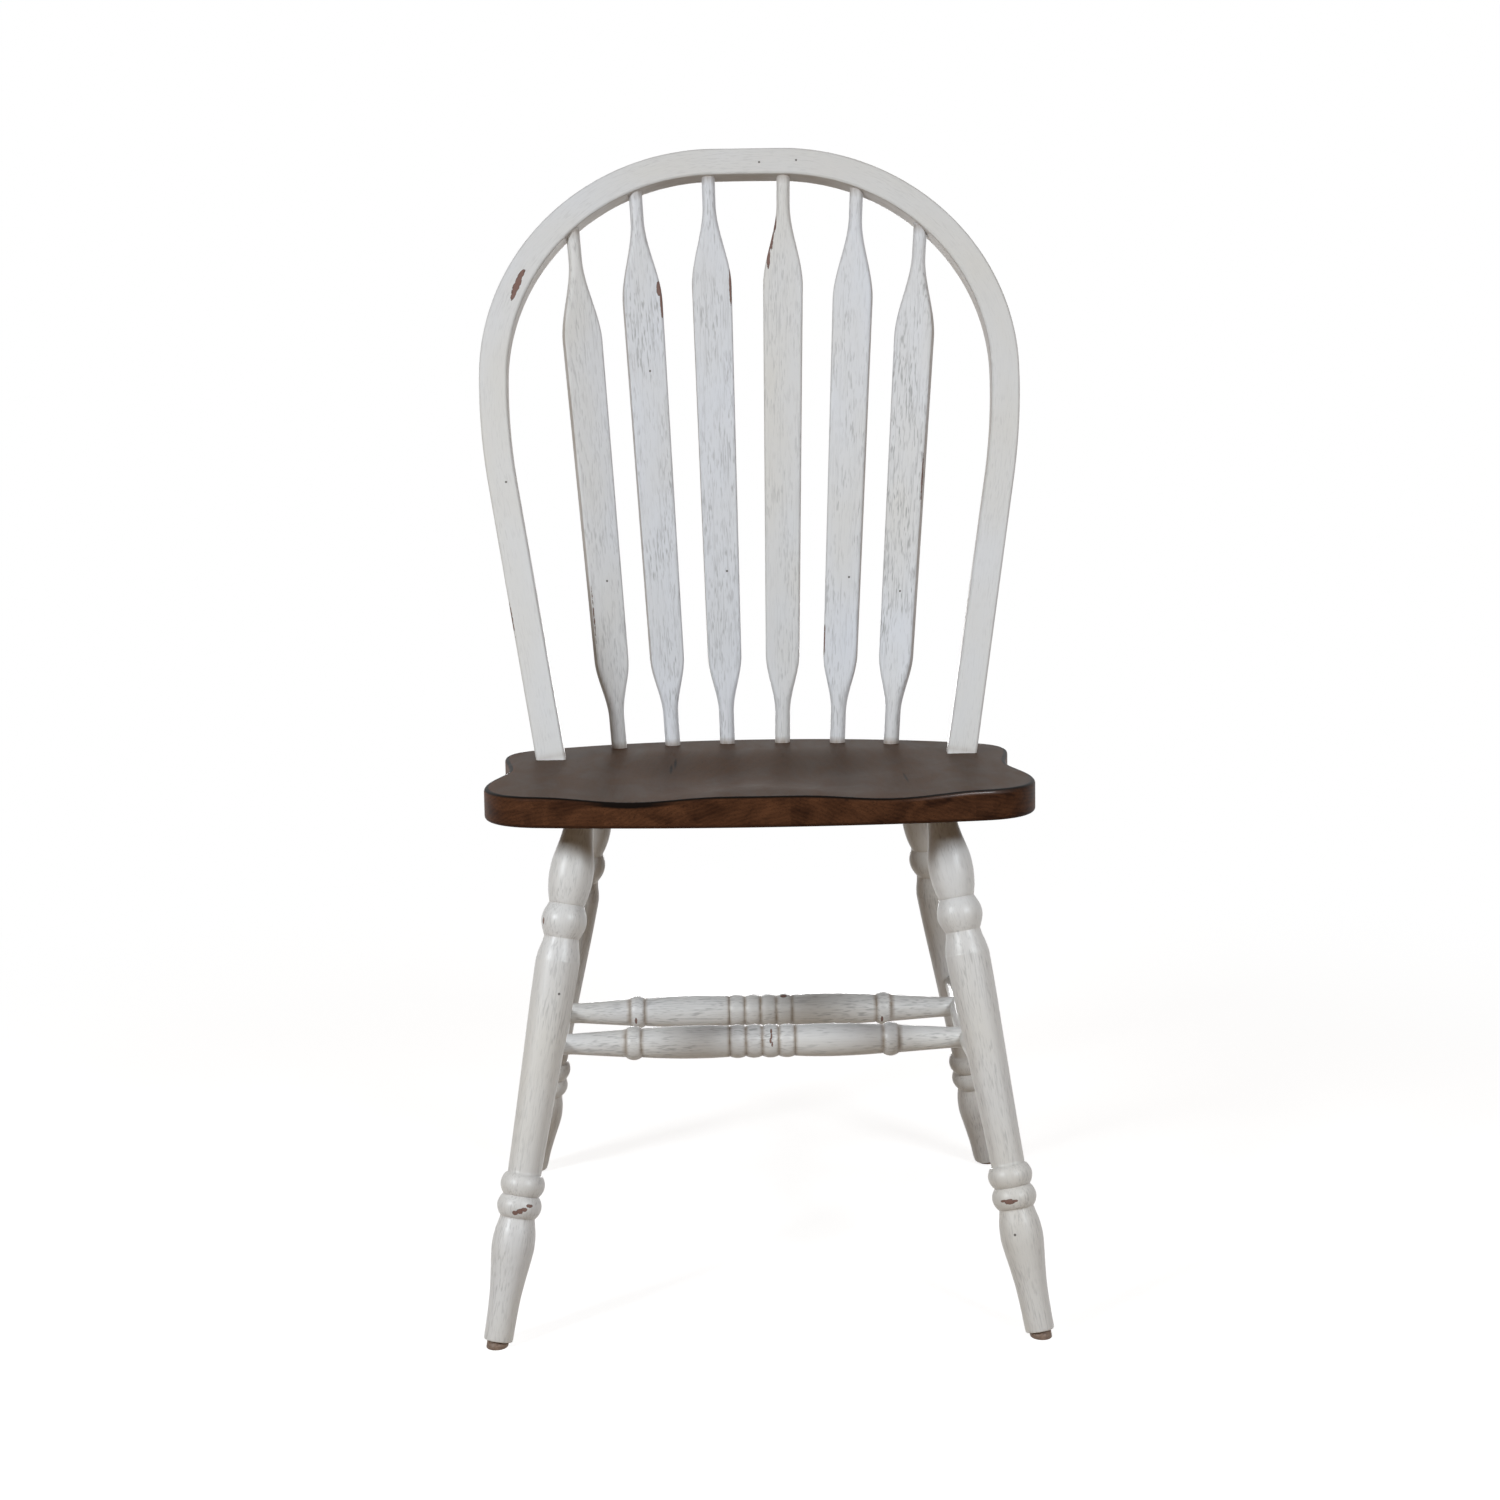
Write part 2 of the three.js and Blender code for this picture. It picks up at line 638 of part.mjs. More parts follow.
// Cross stretchers
const crossPlaces = {
  front: crossStretcher.frontSetBack,
  rear: seat.depth - crossStretcher.rearFromBack,
};
for (const [name, setBack] of Object.entries(crossPlaces)) {
  const ends = ['left', 'right'].map((side) => {
    const { front, rear } = sideAxes[side];
    return front.clone().lerp(rear, (setBack - front.y) / (rear.y - front.y));
  });
  const middle = ends[0].clone().lerp(ends[1], 0.5);
  const place = along(middle, ends[1]);
  const halfSpan = ends[0].distanceTo(ends[1]) / 2;
  const halfLength = halfSpan + crossStretcher.pastSideAxis;
  const profile = crossStretcherProfile(halfLength, halfSpan - sideStretcher.midDia / 2);
  addPiece(`stretcher_cross_${name}`, turnedStick(profile, stretcherSides), 'painted', place);
  const dia = crossStretcher.endDia + fitGap * 2;
  const end = halfLength + fitGap;
  const start = halfSpan - sideStretcher.midDia;
  sideSockets.left.push(socketCutter(-end, -start, dia, stretcherSides, place));
  sideSockets.right.push(socketCutter(start, end, dia, stretcherSides, place));
}
for (const side of ['left', 'right']) {
  cutFrom(chair.getObjectByName(`stretcher_side_${side}`), sideSockets[side]);
}

// Legs with glides
const farSize = (seat.depth + seat.width) * 2;
const underFloor = {
  geometry: new THREE.BoxGeometry(farSize, farSize, farSize).translate(0, 0, -farSize / 2),
  matrix: new THREE.Matrix4(),
};
for (const [name, axis] of Object.entries(legAxes)) {
  const place = along(axis.top, axis.foot);
  const end = atHeight(axis, glide.height + fitGap);
  const length = axis.top.distanceTo(end);
  const mesh = addPiece(`leg_${name}`, turnedStick(legProfile(length), legSides), 'painted', place);
  const nailStart = length - glide.nailLength;
  const padStart = length + fitGap;
  const nailEnd = padStart + glide.nailSunk;
  const nailSocket = socketCutter(nailStart - fitGap, nailEnd + fitGap, glide.nailDia + fitGap * 2,
    spindleSides, place);
  cutFrom(mesh, [nailSocket, ...legSockets[name]]);
  const pad = turnedStick([[padStart, glide.dia], [length + cutterOverrun, glide.dia]], glideSides);
  cutFrom(addPiece(`glide_${name}`, pad, 'glide', place), [nailSocket, underFloor]);
  const nail = turnedStick([[nailStart, glide.nailDia], [nailEnd, glide.nailDia]], spindleSides);
  addPiece(`glide_nail_${name}`, nail, 'steel', place);
  seatSockets.push(socketCutter(-leg.tenonLength - fitGap, cutterOverrun, leg.tenonDia + fitGap * 2,
    legSides, place));
}

// Spindles
spindleAxes.forEach((axis, i) => {
  const place = spindlePlace(axis);
  const length = axis.foot.distanceTo(axis.head);
  addPiece(`spindle_${i + 1}`, spindleGeometry(length), 'painted', place);
  seatSockets.push(socketCutter(-spindle.footSocket - fitGap, cutterOverrun, spindle.footDia + fitGap * 2,
    spindleSides, place));
  bowSockets.push(socketCutter(length - spindle.headSwell, length + spindle.headSocket + fitGap,
    spindle.headDia + fitGap * 2, spindleSides, place));
});

// Bow, trimmed a hair above the seat, with a round tenon on each foot
const bowBar = new THREE.ExtrudeGeometry(easedSection(bow.depth, bow.width, bow.edgeRound), {
  steps: bowSteps,
  curveSegments: bowCornerSteps,
  extrudePath: bowCurve(),
});
const bowMesh = addPiece('bow', bowBar, 'painted', bowPlace);
const underSeatTop = new THREE.BoxGeometry(farSize, farSize, farSize);
underSeatTop.translate(0, 0, fitGap - farSize / 2);
cutFrom(bowMesh, [{ geometry: underSeatTop, matrix: seatPlace }, ...bowSockets]);
let bowSolid = toSolid(bowMesh.geometry);
const toBow = bowMesh.matrix.clone().invert();
for (const foot of bowFeet) {
  const tenon = socketCutter(-bow.tenonLength, bow.tenonLength, bow.tenonDia, legSides, foot);
  bowSolid = bowSolid.add(toSolid(tenon.geometry, toBow.clone().multiply(tenon.matrix)));
  seatSockets.push(socketCutter(-cutterOverrun, bow.tenonLength + fitGap, bow.tenonDia + fitGap * 2,
    legSides, foot));
}
bowMesh.geometry = toGeometry(bowSolid);
bowMesh.geometry.computeVertexNormals();

// Seat, bored for the bow, the spindles and the legs
const seatMesh = addPiece('seat', seatGeometry(), 'seat', seatPlace);
cutFrom(seatMesh, seatSockets);

// The origin goes under the middle of the outline
const outlineBox = new THREE.Box3().setFromObject(chair, true);
chair.position.y = -(outlineBox.min.y + outlineBox.max.y) / 2;

export default chair;
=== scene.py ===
# %% [markdown]
# # A bow-back windsor chair in worn white paint
#
# The chair is a kit of sticks: a carved plank seat, one steam-bent bow, six flat "arrow" spindles, four
# turned legs and four turned stretchers, with a brown glide nailed under each foot. The part is already
# built as a coarse solid model. This scene opens that model as a fixed frame and lays a smooth, finely
# divided skin over each of its pieces, then paints, glazes and rubs the skins the way the maker did.

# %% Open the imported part
import math

import bmesh
import bpy
import numpy as np
from mathutils import Matrix, Vector


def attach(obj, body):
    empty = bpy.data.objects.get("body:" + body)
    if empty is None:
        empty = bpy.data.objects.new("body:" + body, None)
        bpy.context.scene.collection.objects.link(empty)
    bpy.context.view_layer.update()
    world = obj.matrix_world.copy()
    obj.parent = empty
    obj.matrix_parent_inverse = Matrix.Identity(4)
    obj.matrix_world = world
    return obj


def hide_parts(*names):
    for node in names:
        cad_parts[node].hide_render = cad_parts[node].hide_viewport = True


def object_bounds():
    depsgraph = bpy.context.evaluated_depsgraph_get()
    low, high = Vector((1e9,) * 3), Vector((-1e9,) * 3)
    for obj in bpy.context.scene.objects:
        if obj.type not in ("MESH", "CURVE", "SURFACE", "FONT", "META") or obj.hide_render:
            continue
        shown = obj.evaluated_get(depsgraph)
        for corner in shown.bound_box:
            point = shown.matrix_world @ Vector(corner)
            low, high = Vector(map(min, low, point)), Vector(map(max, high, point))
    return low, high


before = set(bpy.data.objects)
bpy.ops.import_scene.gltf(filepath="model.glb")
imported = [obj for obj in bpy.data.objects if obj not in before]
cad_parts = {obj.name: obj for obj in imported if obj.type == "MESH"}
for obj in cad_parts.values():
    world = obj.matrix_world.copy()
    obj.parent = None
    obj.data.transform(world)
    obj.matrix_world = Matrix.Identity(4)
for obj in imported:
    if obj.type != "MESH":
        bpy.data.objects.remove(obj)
part_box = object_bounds()
print("the part holds", len(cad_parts), "solids")

# %% [markdown]
# ## Units and places
#
# The chair was measured in millimetres from the middle of the seat's front edge, with X to the right, Y to
# the back and Z up from the floor. The frame counts in metres, and its origin lies under the middle of the
# chair. One function carries every point over, and keeps it inside the part's own box: a smooth curve can
# bulge a tenth of a millimetre past the flats of the coarse one.

# %% From the maker's millimetres to the frame
MM = 0.001
ORIGIN_SETBACK = 236.307     # from the seat's front edge back to the frame's origin


def in_frame(points):
    moved = (np.asarray(points, float) - (0, ORIGIN_SETBACK, 0)) * MM
    return np.clip(moved, part_box[0], part_box[1])


def unit(vector):
    vector = np.asarray(vector, float)
    return vector / np.linalg.norm(vector)


def blend(low, high, share):
    return low + (high - low) * share


def smooth(share):
    share = np.clip(share, 0, 1)
    return share * share * (3 - 2 * share)


print("the part is", [round((b - a) / MM, 1) for a, b in zip(*part_box)], "mm wide, deep and high")

# %% [markdown]
# ## One way to make a skin
#
# A turned leg, a bent bow and a carved seat are all rows of closed rings joined by four-sided faces. A
# Screw modifier or a bevelled curve could make some of them, but those forget where each point came from.
# The finish needs to know that, so each point also keeps `grain`, its place in the stick, with the third
# number always running along the wood. On the bent bow this is the distance along the bend, so the streaks
# follow the curve as they do in steamed wood. Where a piece needs them, its points keep other facts from
# nought to one:
#
# - `glaze`: how deep a place sits in a groove, where the brown glaze stays when the rest is wiped
#   off, and how far a place is darkened as painted shade: at joints, inner faces and narrow sides.
# - `arris`: how near it is to an edge that cloth and sandpaper reach first.
# - `painted_sheen` and `polish`, on the seat: where the top is painted greyer, a painted sheen that stands
#   in for its soft shine, and where hands have polished the edge.

# %% A ring skin with its facts
def make_skin(name, rings, grain, slot, **facts):
    count, sides = len(rings), len(rings[0])
    shape = (count, sides)
    points = in_frame(np.reshape(rings, (-1, 3)))

    # Four-sided faces from each ring to the next, then one cap at each end
    faces = []
    for r in range(count - 1):
        for s in range(sides):
            n = (s + 1) % sides
            faces.append((r * sides + s, r * sides + n, (r + 1) * sides + n, (r + 1) * sides + s))
    faces.append(tuple(range(sides))[::-1])
    faces.append(tuple(range((count - 1) * sides, count * sides)))
    mesh = bpy.data.meshes.new(name)
    mesh.from_pydata(points.tolist(), [], faces)

    # The facts go on the points, where the shader finds them by name
    for fact, values in facts.items():
        layer = mesh.attributes.new(fact, "FLOAT", "POINT")
        layer.data.foreach_set("value", np.broadcast_to(values, shape).ravel().astype(np.float32))
    layer = mesh.attributes.new("grain", "FLOAT_VECTOR", "POINT")
    layer.data.foreach_set("vector", (np.reshape(grain, (-1, 3)) * MM).ravel().astype(np.float32))

    # The faces look outwards, and all but the caps are shaded smooth
    shell = bmesh.new()
    shell.from_mesh(mesh)
    bmesh.ops.recalc_face_normals(shell, faces=shell.faces)
    for face in shell.faces:
        face.smooth = len(face.verts) == 4
    shell.to_mesh(mesh)
    shell.free()

    piece = bpy.data.objects.new(name, mesh)
    bpy.context.scene.collection.objects.link(piece)
    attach(piece, "root")
    return piece


# %% [markdown]
# ## The seat
#
# The seat is a 26 mm plank glued up from boards that run front to back, sawn to a shield outline with a
# waist for the hand, and carved with two thigh scoops that open through the front edge. Its outline is six
# curves on each side. The seat could be sculpted, or cut with booleans. Here the skin runs inwards from the
# outline in rings, and each ring is lowered by the depth of the carving, so that the rounding and the dark
# line of the edge come out even all the way round.

# %% Sizes of the seat
seat = dict(front_height=457.2, fall=math.radians(3.1), width=469, depth=422, thickness=25.6,
            top_round=3.2, bottom_round=2.4)
dish = dict(front_depth=4.2, depth=10, deepest=185, end=338, scoop_centre=88, scoop_half=75,
            merged_centre=52, merged_half=138, ridge_round=22)
# The edge that hands have polished: places across where it starts, is full, fades and ends, and one back
polished = dict(start=110, full=160, fade=190, end=215, back=80)

# Handles and ends of the outline's curves, in shares of the half width and of the depth
seat_curves = [
    [(0.27, 0.000), (0.54, 0.014), (0.785, 0.041)],
    [(0.915, 0.055), (0.996, 0.120), (0.996, 0.237)],
    [(0.998, 0.320), (0.949, 0.400), (0.949, 0.468)],
    [(0.949, 0.535), (0.985, 0.620), (0.998, 0.700)],
    [(1.009, 0.775), (0.968, 0.826), (0.900, 0.848)],
    [(0.712, 0.928), (0.400, 1.000), (0, 1)],
]
print("the seat's back is", round(seat["depth"] * math.sin(seat["fall"]), 1), "mm lower than its front")


# %% From the seat's own flat top to the tilted seat
def on_seat(points):
    x, y, z = np.moveaxis(np.asarray(points, float), -1, 0)
    fall = seat["fall"]
    return np.stack([x, y * math.cos(fall) + z * math.sin(fall),
                     seat["front_height"] - y * math.sin(fall) + z * math.cos(fall)], -1)


# %% The seat's outline and carving
def seat_outline(steps=16):
    points = [np.zeros(2)]
    t = np.linspace(0, 1, steps + 1)[1:, None]
    for curve in seat_curves:
        a = points[-1]
        b, c, d = np.array(curve) * (seat["width"] / 2, seat["depth"])
        points.extend(a * (1 - t) ** 3 + 3 * b * t * (1 - t) ** 2 + 3 * c * t ** 2 * (1 - t) + d * t ** 3)
    right = np.array(points)
    left = right[-2:0:-1] * (-1, 1)
    return np.concatenate([right, left])


def carved_depth(x, y):
    inward = np.clip(y / dish["deepest"], 0, 1)
    outward = np.clip((y - dish["deepest"]) / (dish["end"] - dish["deepest"]), 0, 1)
    share = smooth(inward)
    depth = blend(dish["front_depth"], dish["depth"], share) * np.cos(outward * math.pi / 2) ** 2
    centre = blend(dish["scoop_centre"], dish["merged_centre"], share)
    half_width = blend(dish["scoop_half"], dish["merged_half"], share)
    side = np.hypot(x, dish["ridge_round"]) - dish["ridge_round"] * (1 - share)
    off = np.clip((side - centre) / half_width, -1, 1)
    return depth * np.cos(off * math.pi / 2) ** 2


scoop = np.array(70.0), np.array(float(dish["deepest"]))
print("deepest carving", round(float(carved_depth(*scoop)), 1), "mm")


# %% Rings over the carved top
outline = seat_outline()
seat_middle = np.array([0, seat["depth"] / 2])
inwards = (seat_middle - outline) / np.linalg.norm(seat_middle - outline, axis=1)[:, None]
top_edge = outline + inwards * seat["top_round"]
seat_rings = []
seat_facts = {"arris": [], "painted_sheen": [], "polish": []}


def add_ring(flat, height, arris, painted_sheen=0.0, polish=0.0):
    seat_rings.append(np.column_stack([flat, height]))
    for values, value in zip(seat_facts.values(), (arris, painted_sheen, polish)):
        values.append(np.broadcast_to(value, len(flat)))


# From the middle outwards, closer together towards the edge. The dark line starts 3 mm from the edge, and
# the painted sheen, a greyer top in place of its shine, ends 4 mm from it.
for share in 1 - np.linspace(1, 0, 46)[:-1] ** 1.35:
    flat = seat_middle + (top_edge - seat_middle) * max(share, 0.02)
    near = np.linalg.norm(flat - top_edge, axis=1).min()
    add_ring(flat, -carved_depth(*flat.T), np.clip(1 - near / 3, 0, 1) * 0.5, np.clip(near / 4, 0, 1))
print("rings over the top:", len(seat_rings))

# %% [markdown]
# A thin dark line runs along the upper edge. It widens to a band only over the left scoop, and the right
# corner is polished by the hand that pulls the chair out. Both are told ring by ring, on the way round the
# edge and down the side.

# %% Rings round the edge and down the side
band = carved_depth(*outline.T) / dish["front_depth"] * (outline[:, 0] < 0)
across, back = outline.T
comes = smooth((across - polished["start"]) / (polished["full"] - polished["start"]))
goes = smooth((polished["end"] - across) / (polished["end"] - polished["fade"]))
corner = comes * goes * (back < polished["back"])
for turn in np.radians(np.linspace(0, 90, 8)):
    flat = outline + inwards * seat["top_round"] * (1 - math.sin(turn))
    height = -carved_depth(*flat.T) - seat["top_round"] * (1 - math.cos(turn))
    line = np.clip(1.7 - turn / math.radians(50), 0, 1)
    add_ring(flat, height, np.maximum(band, line), polish=corner * math.sin(turn) ** 2)

side_top_height = seat_rings[-1][:, 2]
side_foot_height = seat["bottom_round"] - seat["thickness"]
for share in (0.04, 0.1, 0.18, 0.28, 0.4, 0.6, 0.8, 0.94):
    height = blend(side_top_height, side_foot_height, share)
    add_ring(outline, height, np.clip(band * 1.15 - share * 6, 0, 1))
print("rings down to the lower edge:", len(seat_rings))

# %% Rings under the seat
for turn in np.radians(np.linspace(0, 90, 7)):
    flat = outline + inwards * seat["bottom_round"] * (1 - math.cos(turn))
    height = seat["bottom_round"] * (1 - math.sin(turn)) - seat["thickness"]
    add_ring(flat, np.full(len(flat), height), 0.5)
for share in (0.96, 0.75, 0.45, 0.1):
    flat = seat_middle + (outline - seat_middle) * share
    add_ring(flat, np.full(len(flat), -seat["thickness"]), 0.0)
print("rings in all:", len(seat_rings))

# %% Join the seat's rings
seat_rings = np.array(seat_rings)
seat_facts = {fact: np.array(values) for fact, values in seat_facts.items()}
grain = seat_rings[..., [0, 2, 1]]     # the boards run front to back, so that number goes last
seat_plank = make_skin("seat_plank", on_seat(seat_rings), grain, "seat_stain", **seat_facts)
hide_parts("seat")
print("seat:", len(seat_plank.data.vertices), "points")

# %% [markdown]
# ## The bow
#
# The bow is one ash bar, steamed and bent round a form: straight feet that lean outwards, long side curves,
# round shoulders and an almost flat crown, all in one plane that rakes to the back. The skin follows a list
# of centre-line points, each with the direction that points out of the hoop. A bevelled curve would sweep
# the same bar, but its points wouldn't know how far along the wood they are.

# %% Sizes of the bow
bow = dict(half_span=190.5, set_back=286, rake=math.radians(20.6), lean=math.radians(9.6), foot_length=270,
           side_radius=633, crown_half=30.5, crown_rise=0.5, width=27, depth=21, edge_round=2.6, sunk=12)


def in_bow(points):
    x, s, through = np.moveaxis(np.asarray(points, float), -1, 0)
    rake = bow["rake"]
    base = on_seat([0, bow["set_back"], 0])
    return np.stack([x, base[1] + s * math.sin(rake) + through * math.cos(rake),
                     base[2] + s * math.cos(rake) - through * math.sin(rake)], -1)


lean = bow["lean"]
foot_end = np.array([bow["half_span"] + bow["foot_length"] * math.sin(lean),
                     bow["foot_length"] * math.cos(lean)])
side_top = foot_end + bow["side_radius"] * np.array([1 - math.cos(lean), math.sin(lean)])
shoulder_radius = side_top[0] - bow["crown_half"]
crown_height = side_top[1] + shoulder_radius
print("the crown is", round(crown_height), "mm up the bow's plane")


# %% The bow's centre line
# Points and outward directions, from the right foot over the crown to the left foot
def bow_line(step=4.0):
    points, outs = [], []
    right_out = np.array([math.cos(lean), -math.sin(lean)])
    foot = np.array([bow["half_span"] - bow["sunk"] * math.tan(lean), -bow["sunk"]])
    count = round(np.linalg.norm(foot_end - foot) / step)
    for t in np.linspace(0, 1, count + 1)[:-1]:
        points.append(blend(foot, foot_end, t))
        outs.append(right_out)
    arcs = [((side_top[0] - bow["side_radius"], side_top[1]), bow["side_radius"], -lean, 0),
            ((bow["crown_half"], side_top[1]), shoulder_radius, 0, math.pi / 2)]
    for centre, radius, start, end in arcs:
        count = round(radius * (end - start) / step)
        for angle in np.linspace(start, end, count + 1)[:-1]:
            out = np.array([math.cos(angle), math.sin(angle)])
            points.append(np.array(centre) + radius * out)
            outs.append(out)
    for t in np.linspace(0, 0.5, 9):
        across = blend(bow["crown_half"], -bow["crown_half"], t)
        points.append(np.array([across, crown_height + bow["crown_rise"] * 2 * t * (1 - t)]))
        outs.append(np.array([0.0, 1.0]))
    half = np.array(points), np.array(outs)
    mirrored = [part[-2::-1] * (-1, 1) for part in half]
    return [np.concatenate(pair) for pair in zip(half, mirrored)]


print("the bow's line has", len(bow_line()[0]), "points")


# %% [markdown]
# A bar's section has flat faces and eased corners. Extra points just beside each corner keep the light flat
# on the faces and let it turn only on the corners, which is where the thin bright lines of a sanded edge
# come from.

# %% A section with eased corners
corner_steps = 6


def eased_section(across, through, radius, crown=0.0):
    corners = []
    for sx, sy, start in ((1, 1, 0), (-1, 1, 90), (-1, -1, 180), (1, -1, 270)):
        for turn in np.radians(start + np.linspace(0, 90, corner_steps + 1)):
            corners.append((sx * (across / 2 - radius) + radius * math.cos(turn),
                            sy * (through / 2 - radius) + radius * math.sin(turn)))
    per_corner = corner_steps + 1
    section, edge = [], []
    for c in range(4):
        arc = np.array(corners[c * per_corner:(c + 1) * per_corner])
        after = np.array(corners[((c + 1) % 4) * per_corner])
        gap = after - arc[-1]
        length = np.linalg.norm(gap)
        hold = min(0.22, 0.7 / length)
        section.extend(arc)
        edge.extend([0.45] + [1.0] * (corner_steps - 1) + [0.45])
        for share in (hold, 0.5, 1 - hold):
            section.append(arc[-1] + gap * share)
            edge.append(0.0)
    section = np.array(section)
    section[:, 1] *= 1 - 2 * crown / through * (2 * section[:, 0] / across) ** 2
    return section, np.array(edge)


bow_section, bow_edge = eased_section(bow["width"], bow["depth"], bow["edge_round"])
print("a section has", len(bow_section), "points")


# %% Bend the bow
def make_bow():
    line, outs = bow_line()
    section = bow_section
    steps = np.linalg.norm(np.diff(line, axis=0), axis=1)
    run = np.concatenate([[0], np.cumsum(steps)])
    rings, grain = [], []
    for point, out, at in zip(line, outs, run):
        flat = point + section[:, :1] * out
        rings.append(in_bow(np.column_stack([flat, section[:, 1]])))
        grain.append(np.column_stack([section, np.full(len(section), at)]))
    rings, grain = np.array(rings), np.array(grain)
    from_foot = np.minimum(run, run[-1] - run)
    # Painted shade where the feet enter the seat; the inner face, which looks down, has glaze and painted
    # shade
    glaze = np.exp(-((from_foot - bow["sunk"]) / 3) ** 2)[:, None] * 0.3
    inner_glaze_and_shade = (section[:, 0] < 0.2 - bow["width"] / 2) * 0.45
    shell = make_skin("bow_hoop", rings, grain, "white_paint", glaze=np.maximum(glaze, inner_glaze_and_shade),
                      arris=bow_edge[None])
    return shell, run[-1]


bow_hoop, bow_run = make_bow()
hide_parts("bow")
print("the bow is", round(bow_run), "mm long round its middle")

# %% [markdown]
# ## The spindles
#
# An arrow spindle starts as a round dowel in the seat, swells over a few centimetres into a flat blade, and
# runs back to a dowel that disappears into the bow. A cylinder could be flattened for it, which would lose
# the crisp edges of the blade. Here a section changes from a near circle to a flat bar with eased corners
# as it travels up the stick.

# %% Sizes of the spindles
spindle = dict(count=6, row_y=392.4, row_radius=345, foot_pitch=53.6, head_pitch=73, foot_dia=14.4,
               head_dia=12.8, foot_dowel=30, foot_swell=56, head_dowel=26, head_swell=80, width_low=32.5,
               width_high=38.4, thickness=11, edge_round=2.4, sunk=6)
# Painted shade on a blade's narrow sides, and at its two ends where it meets the seat and the bow
side_glaze, end_glaze = 0.6, 0.8


def spindle_ends(index):
    step = index - (spindle["count"] - 1) / 2
    turn = step * spindle["foot_pitch"] / spindle["row_radius"]
    foot = on_seat([spindle["row_radius"] * math.sin(turn),
                    spindle["row_y"] - spindle["row_radius"] * (1 - math.cos(turn)), 0])
    inner = shoulder_radius - bow["width"] / 2
    reach = abs(step) * spindle["head_pitch"]
    on_crown = min(reach, bow["crown_half"])
    swing = (reach - on_crown) / inner
    head_x = math.copysign(on_crown + inner * math.sin(swing), step)
    head = in_bow([head_x, side_top[1] + inner * math.cos(swing), 0])
    return foot, head, turn


shortest = spindle_ends(0)
print("the first spindle shows", round(np.linalg.norm(shortest[1] - shortest[0])), "mm between seat and bow")


# %% Shave the spindles
def make_spindle(index):
    foot, head, turn = spindle_ends(index)
    length = np.linalg.norm(head - foot)
    axis = unit(head - foot)
    across = unit(np.cross([math.sin(turn), math.cos(turn), 0], axis))
    through = np.cross(axis, across)
    blade_start = spindle["foot_dowel"] + spindle["foot_swell"]
    blade_end = length - spindle["head_dowel"] - spindle["head_swell"]
    stations = [(at, 0.0, 0.0) for at in np.linspace(-spindle["sunk"], spindle["foot_dowel"], 7)]
    stations += [(blend(spindle["foot_dowel"], blade_start, t), float(smooth(t)), 0.0)
                 for t in np.linspace(0, 1, 19)[1:]]
    stations += [(blend(blade_start, blade_end, t), 1.0, t) for t in np.linspace(0, 1, 90)[1:]]
    stations += [(blend(blade_end, blade_end + spindle["head_swell"], t), float(1 - smooth(t)), 1.0)
                 for t in np.linspace(0, 1, 25)[1:]]
    head_run = np.linspace(length - spindle["head_dowel"], length + spindle["sunk"], 8)
    stations += [(at, 0.0, 1.0) for at in head_run[1:]]
    rings, grain, edges, sides = [], [], [], []
    for at, flat, up in stations:
        dia = blend(spindle["foot_dia"], spindle["head_dia"], up)
        wide = blend(dia, blend(spindle["width_low"], spindle["width_high"], up), flat)
        thick = blend(dia, spindle["thickness"], flat)
        radius = blend(dia * 0.47, spindle["edge_round"], flat)
        section, edge = eased_section(wide, thick, radius, crown=0.35 * flat)
        rings.append(foot + axis * at + section[:, :1] * across + section[:, 1:] * through)
        grain.append(np.column_stack([section, np.full(len(section), at)]))
        edges.append(edge * flat)
        sides.append((np.abs(section[:, 0]) > wide / 2 - 0.3) * flat * side_glaze)
    rings, grain = np.array(rings), np.array(grain)
    at = np.array([station[0] for station in stations])
    # Painted shade at both ends, where the spindle enters the seat and the bow
    ends = np.exp(-(at / 2.5) ** 2) + np.exp(-((at - length) / 3) ** 2)
    return make_skin(f"spindle_blade_{index + 1}", rings, grain, "white_paint",
                     glaze=np.maximum(ends[:, None] * end_glaze, sides), arris=np.array(edges))


spindle_blades = []
for index in range(spindle["count"]):
    blade = make_spindle(index)
    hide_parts(f"spindle_{index + 1}")
    spindle_blades.append(blade)
print("six spindles,", len(blade.data.vertices), "points each")

# %% [markdown]
# ## Turned work
#
# Legs and stretchers come off a lathe, so each is one profile spun round its axis. A Screw modifier would
# spin it too; here each point also keeps its distance along the wood. Long hollows and swells are drawn as
# a smooth curve through a few given places. A bead follows a sine from groove to groove. Raised to a power
# under one, the sine grows fuller and nearly half round, which is how a ring leaves the chisel; the bulb
# keeps the plain sine and runs into its grooves at a slope.

# %% Profiles from the lathe
# A smooth curve through places that are told as shares: along the length, and from the low diameter to the
# high one
def swell(start, length, low, high, shares, steps):
    p = np.array(shares, float)
    last = len(p) - 1
    t = np.linspace(0, last, steps + 1)
    i = np.minimum(t.astype(int), last - 1)
    w = (t - i)[:, None]
    p0, p1, p2, p3 = p[np.maximum(i - 1, 0)], p[i], p[i + 1], p[np.minimum(i + 2, last)]
    v0, v1 = (p2 - p0) / 2, (p3 - p1) / 2
    curve = (2 * p1 - 2 * p2 + v0 + v1) * w ** 3 + (3 * p2 - 3 * p1 - 2 * v0 - v1) * w ** 2 + v0 * w + p1
    return [(start + length * x, low + (high - low) * y) for x, y in curve]


# A rounded ridge from groove to groove
def bead(start, length, groove, crest, fullness=0.75, steps=18):
    shares = (1 - np.cos(np.linspace(0, math.pi, steps + 1)[1:])) / 2
    return [(start + length * share, groove + (crest - groove) * abs(math.sin(math.pi * share)) ** fullness)
            for share in shares]


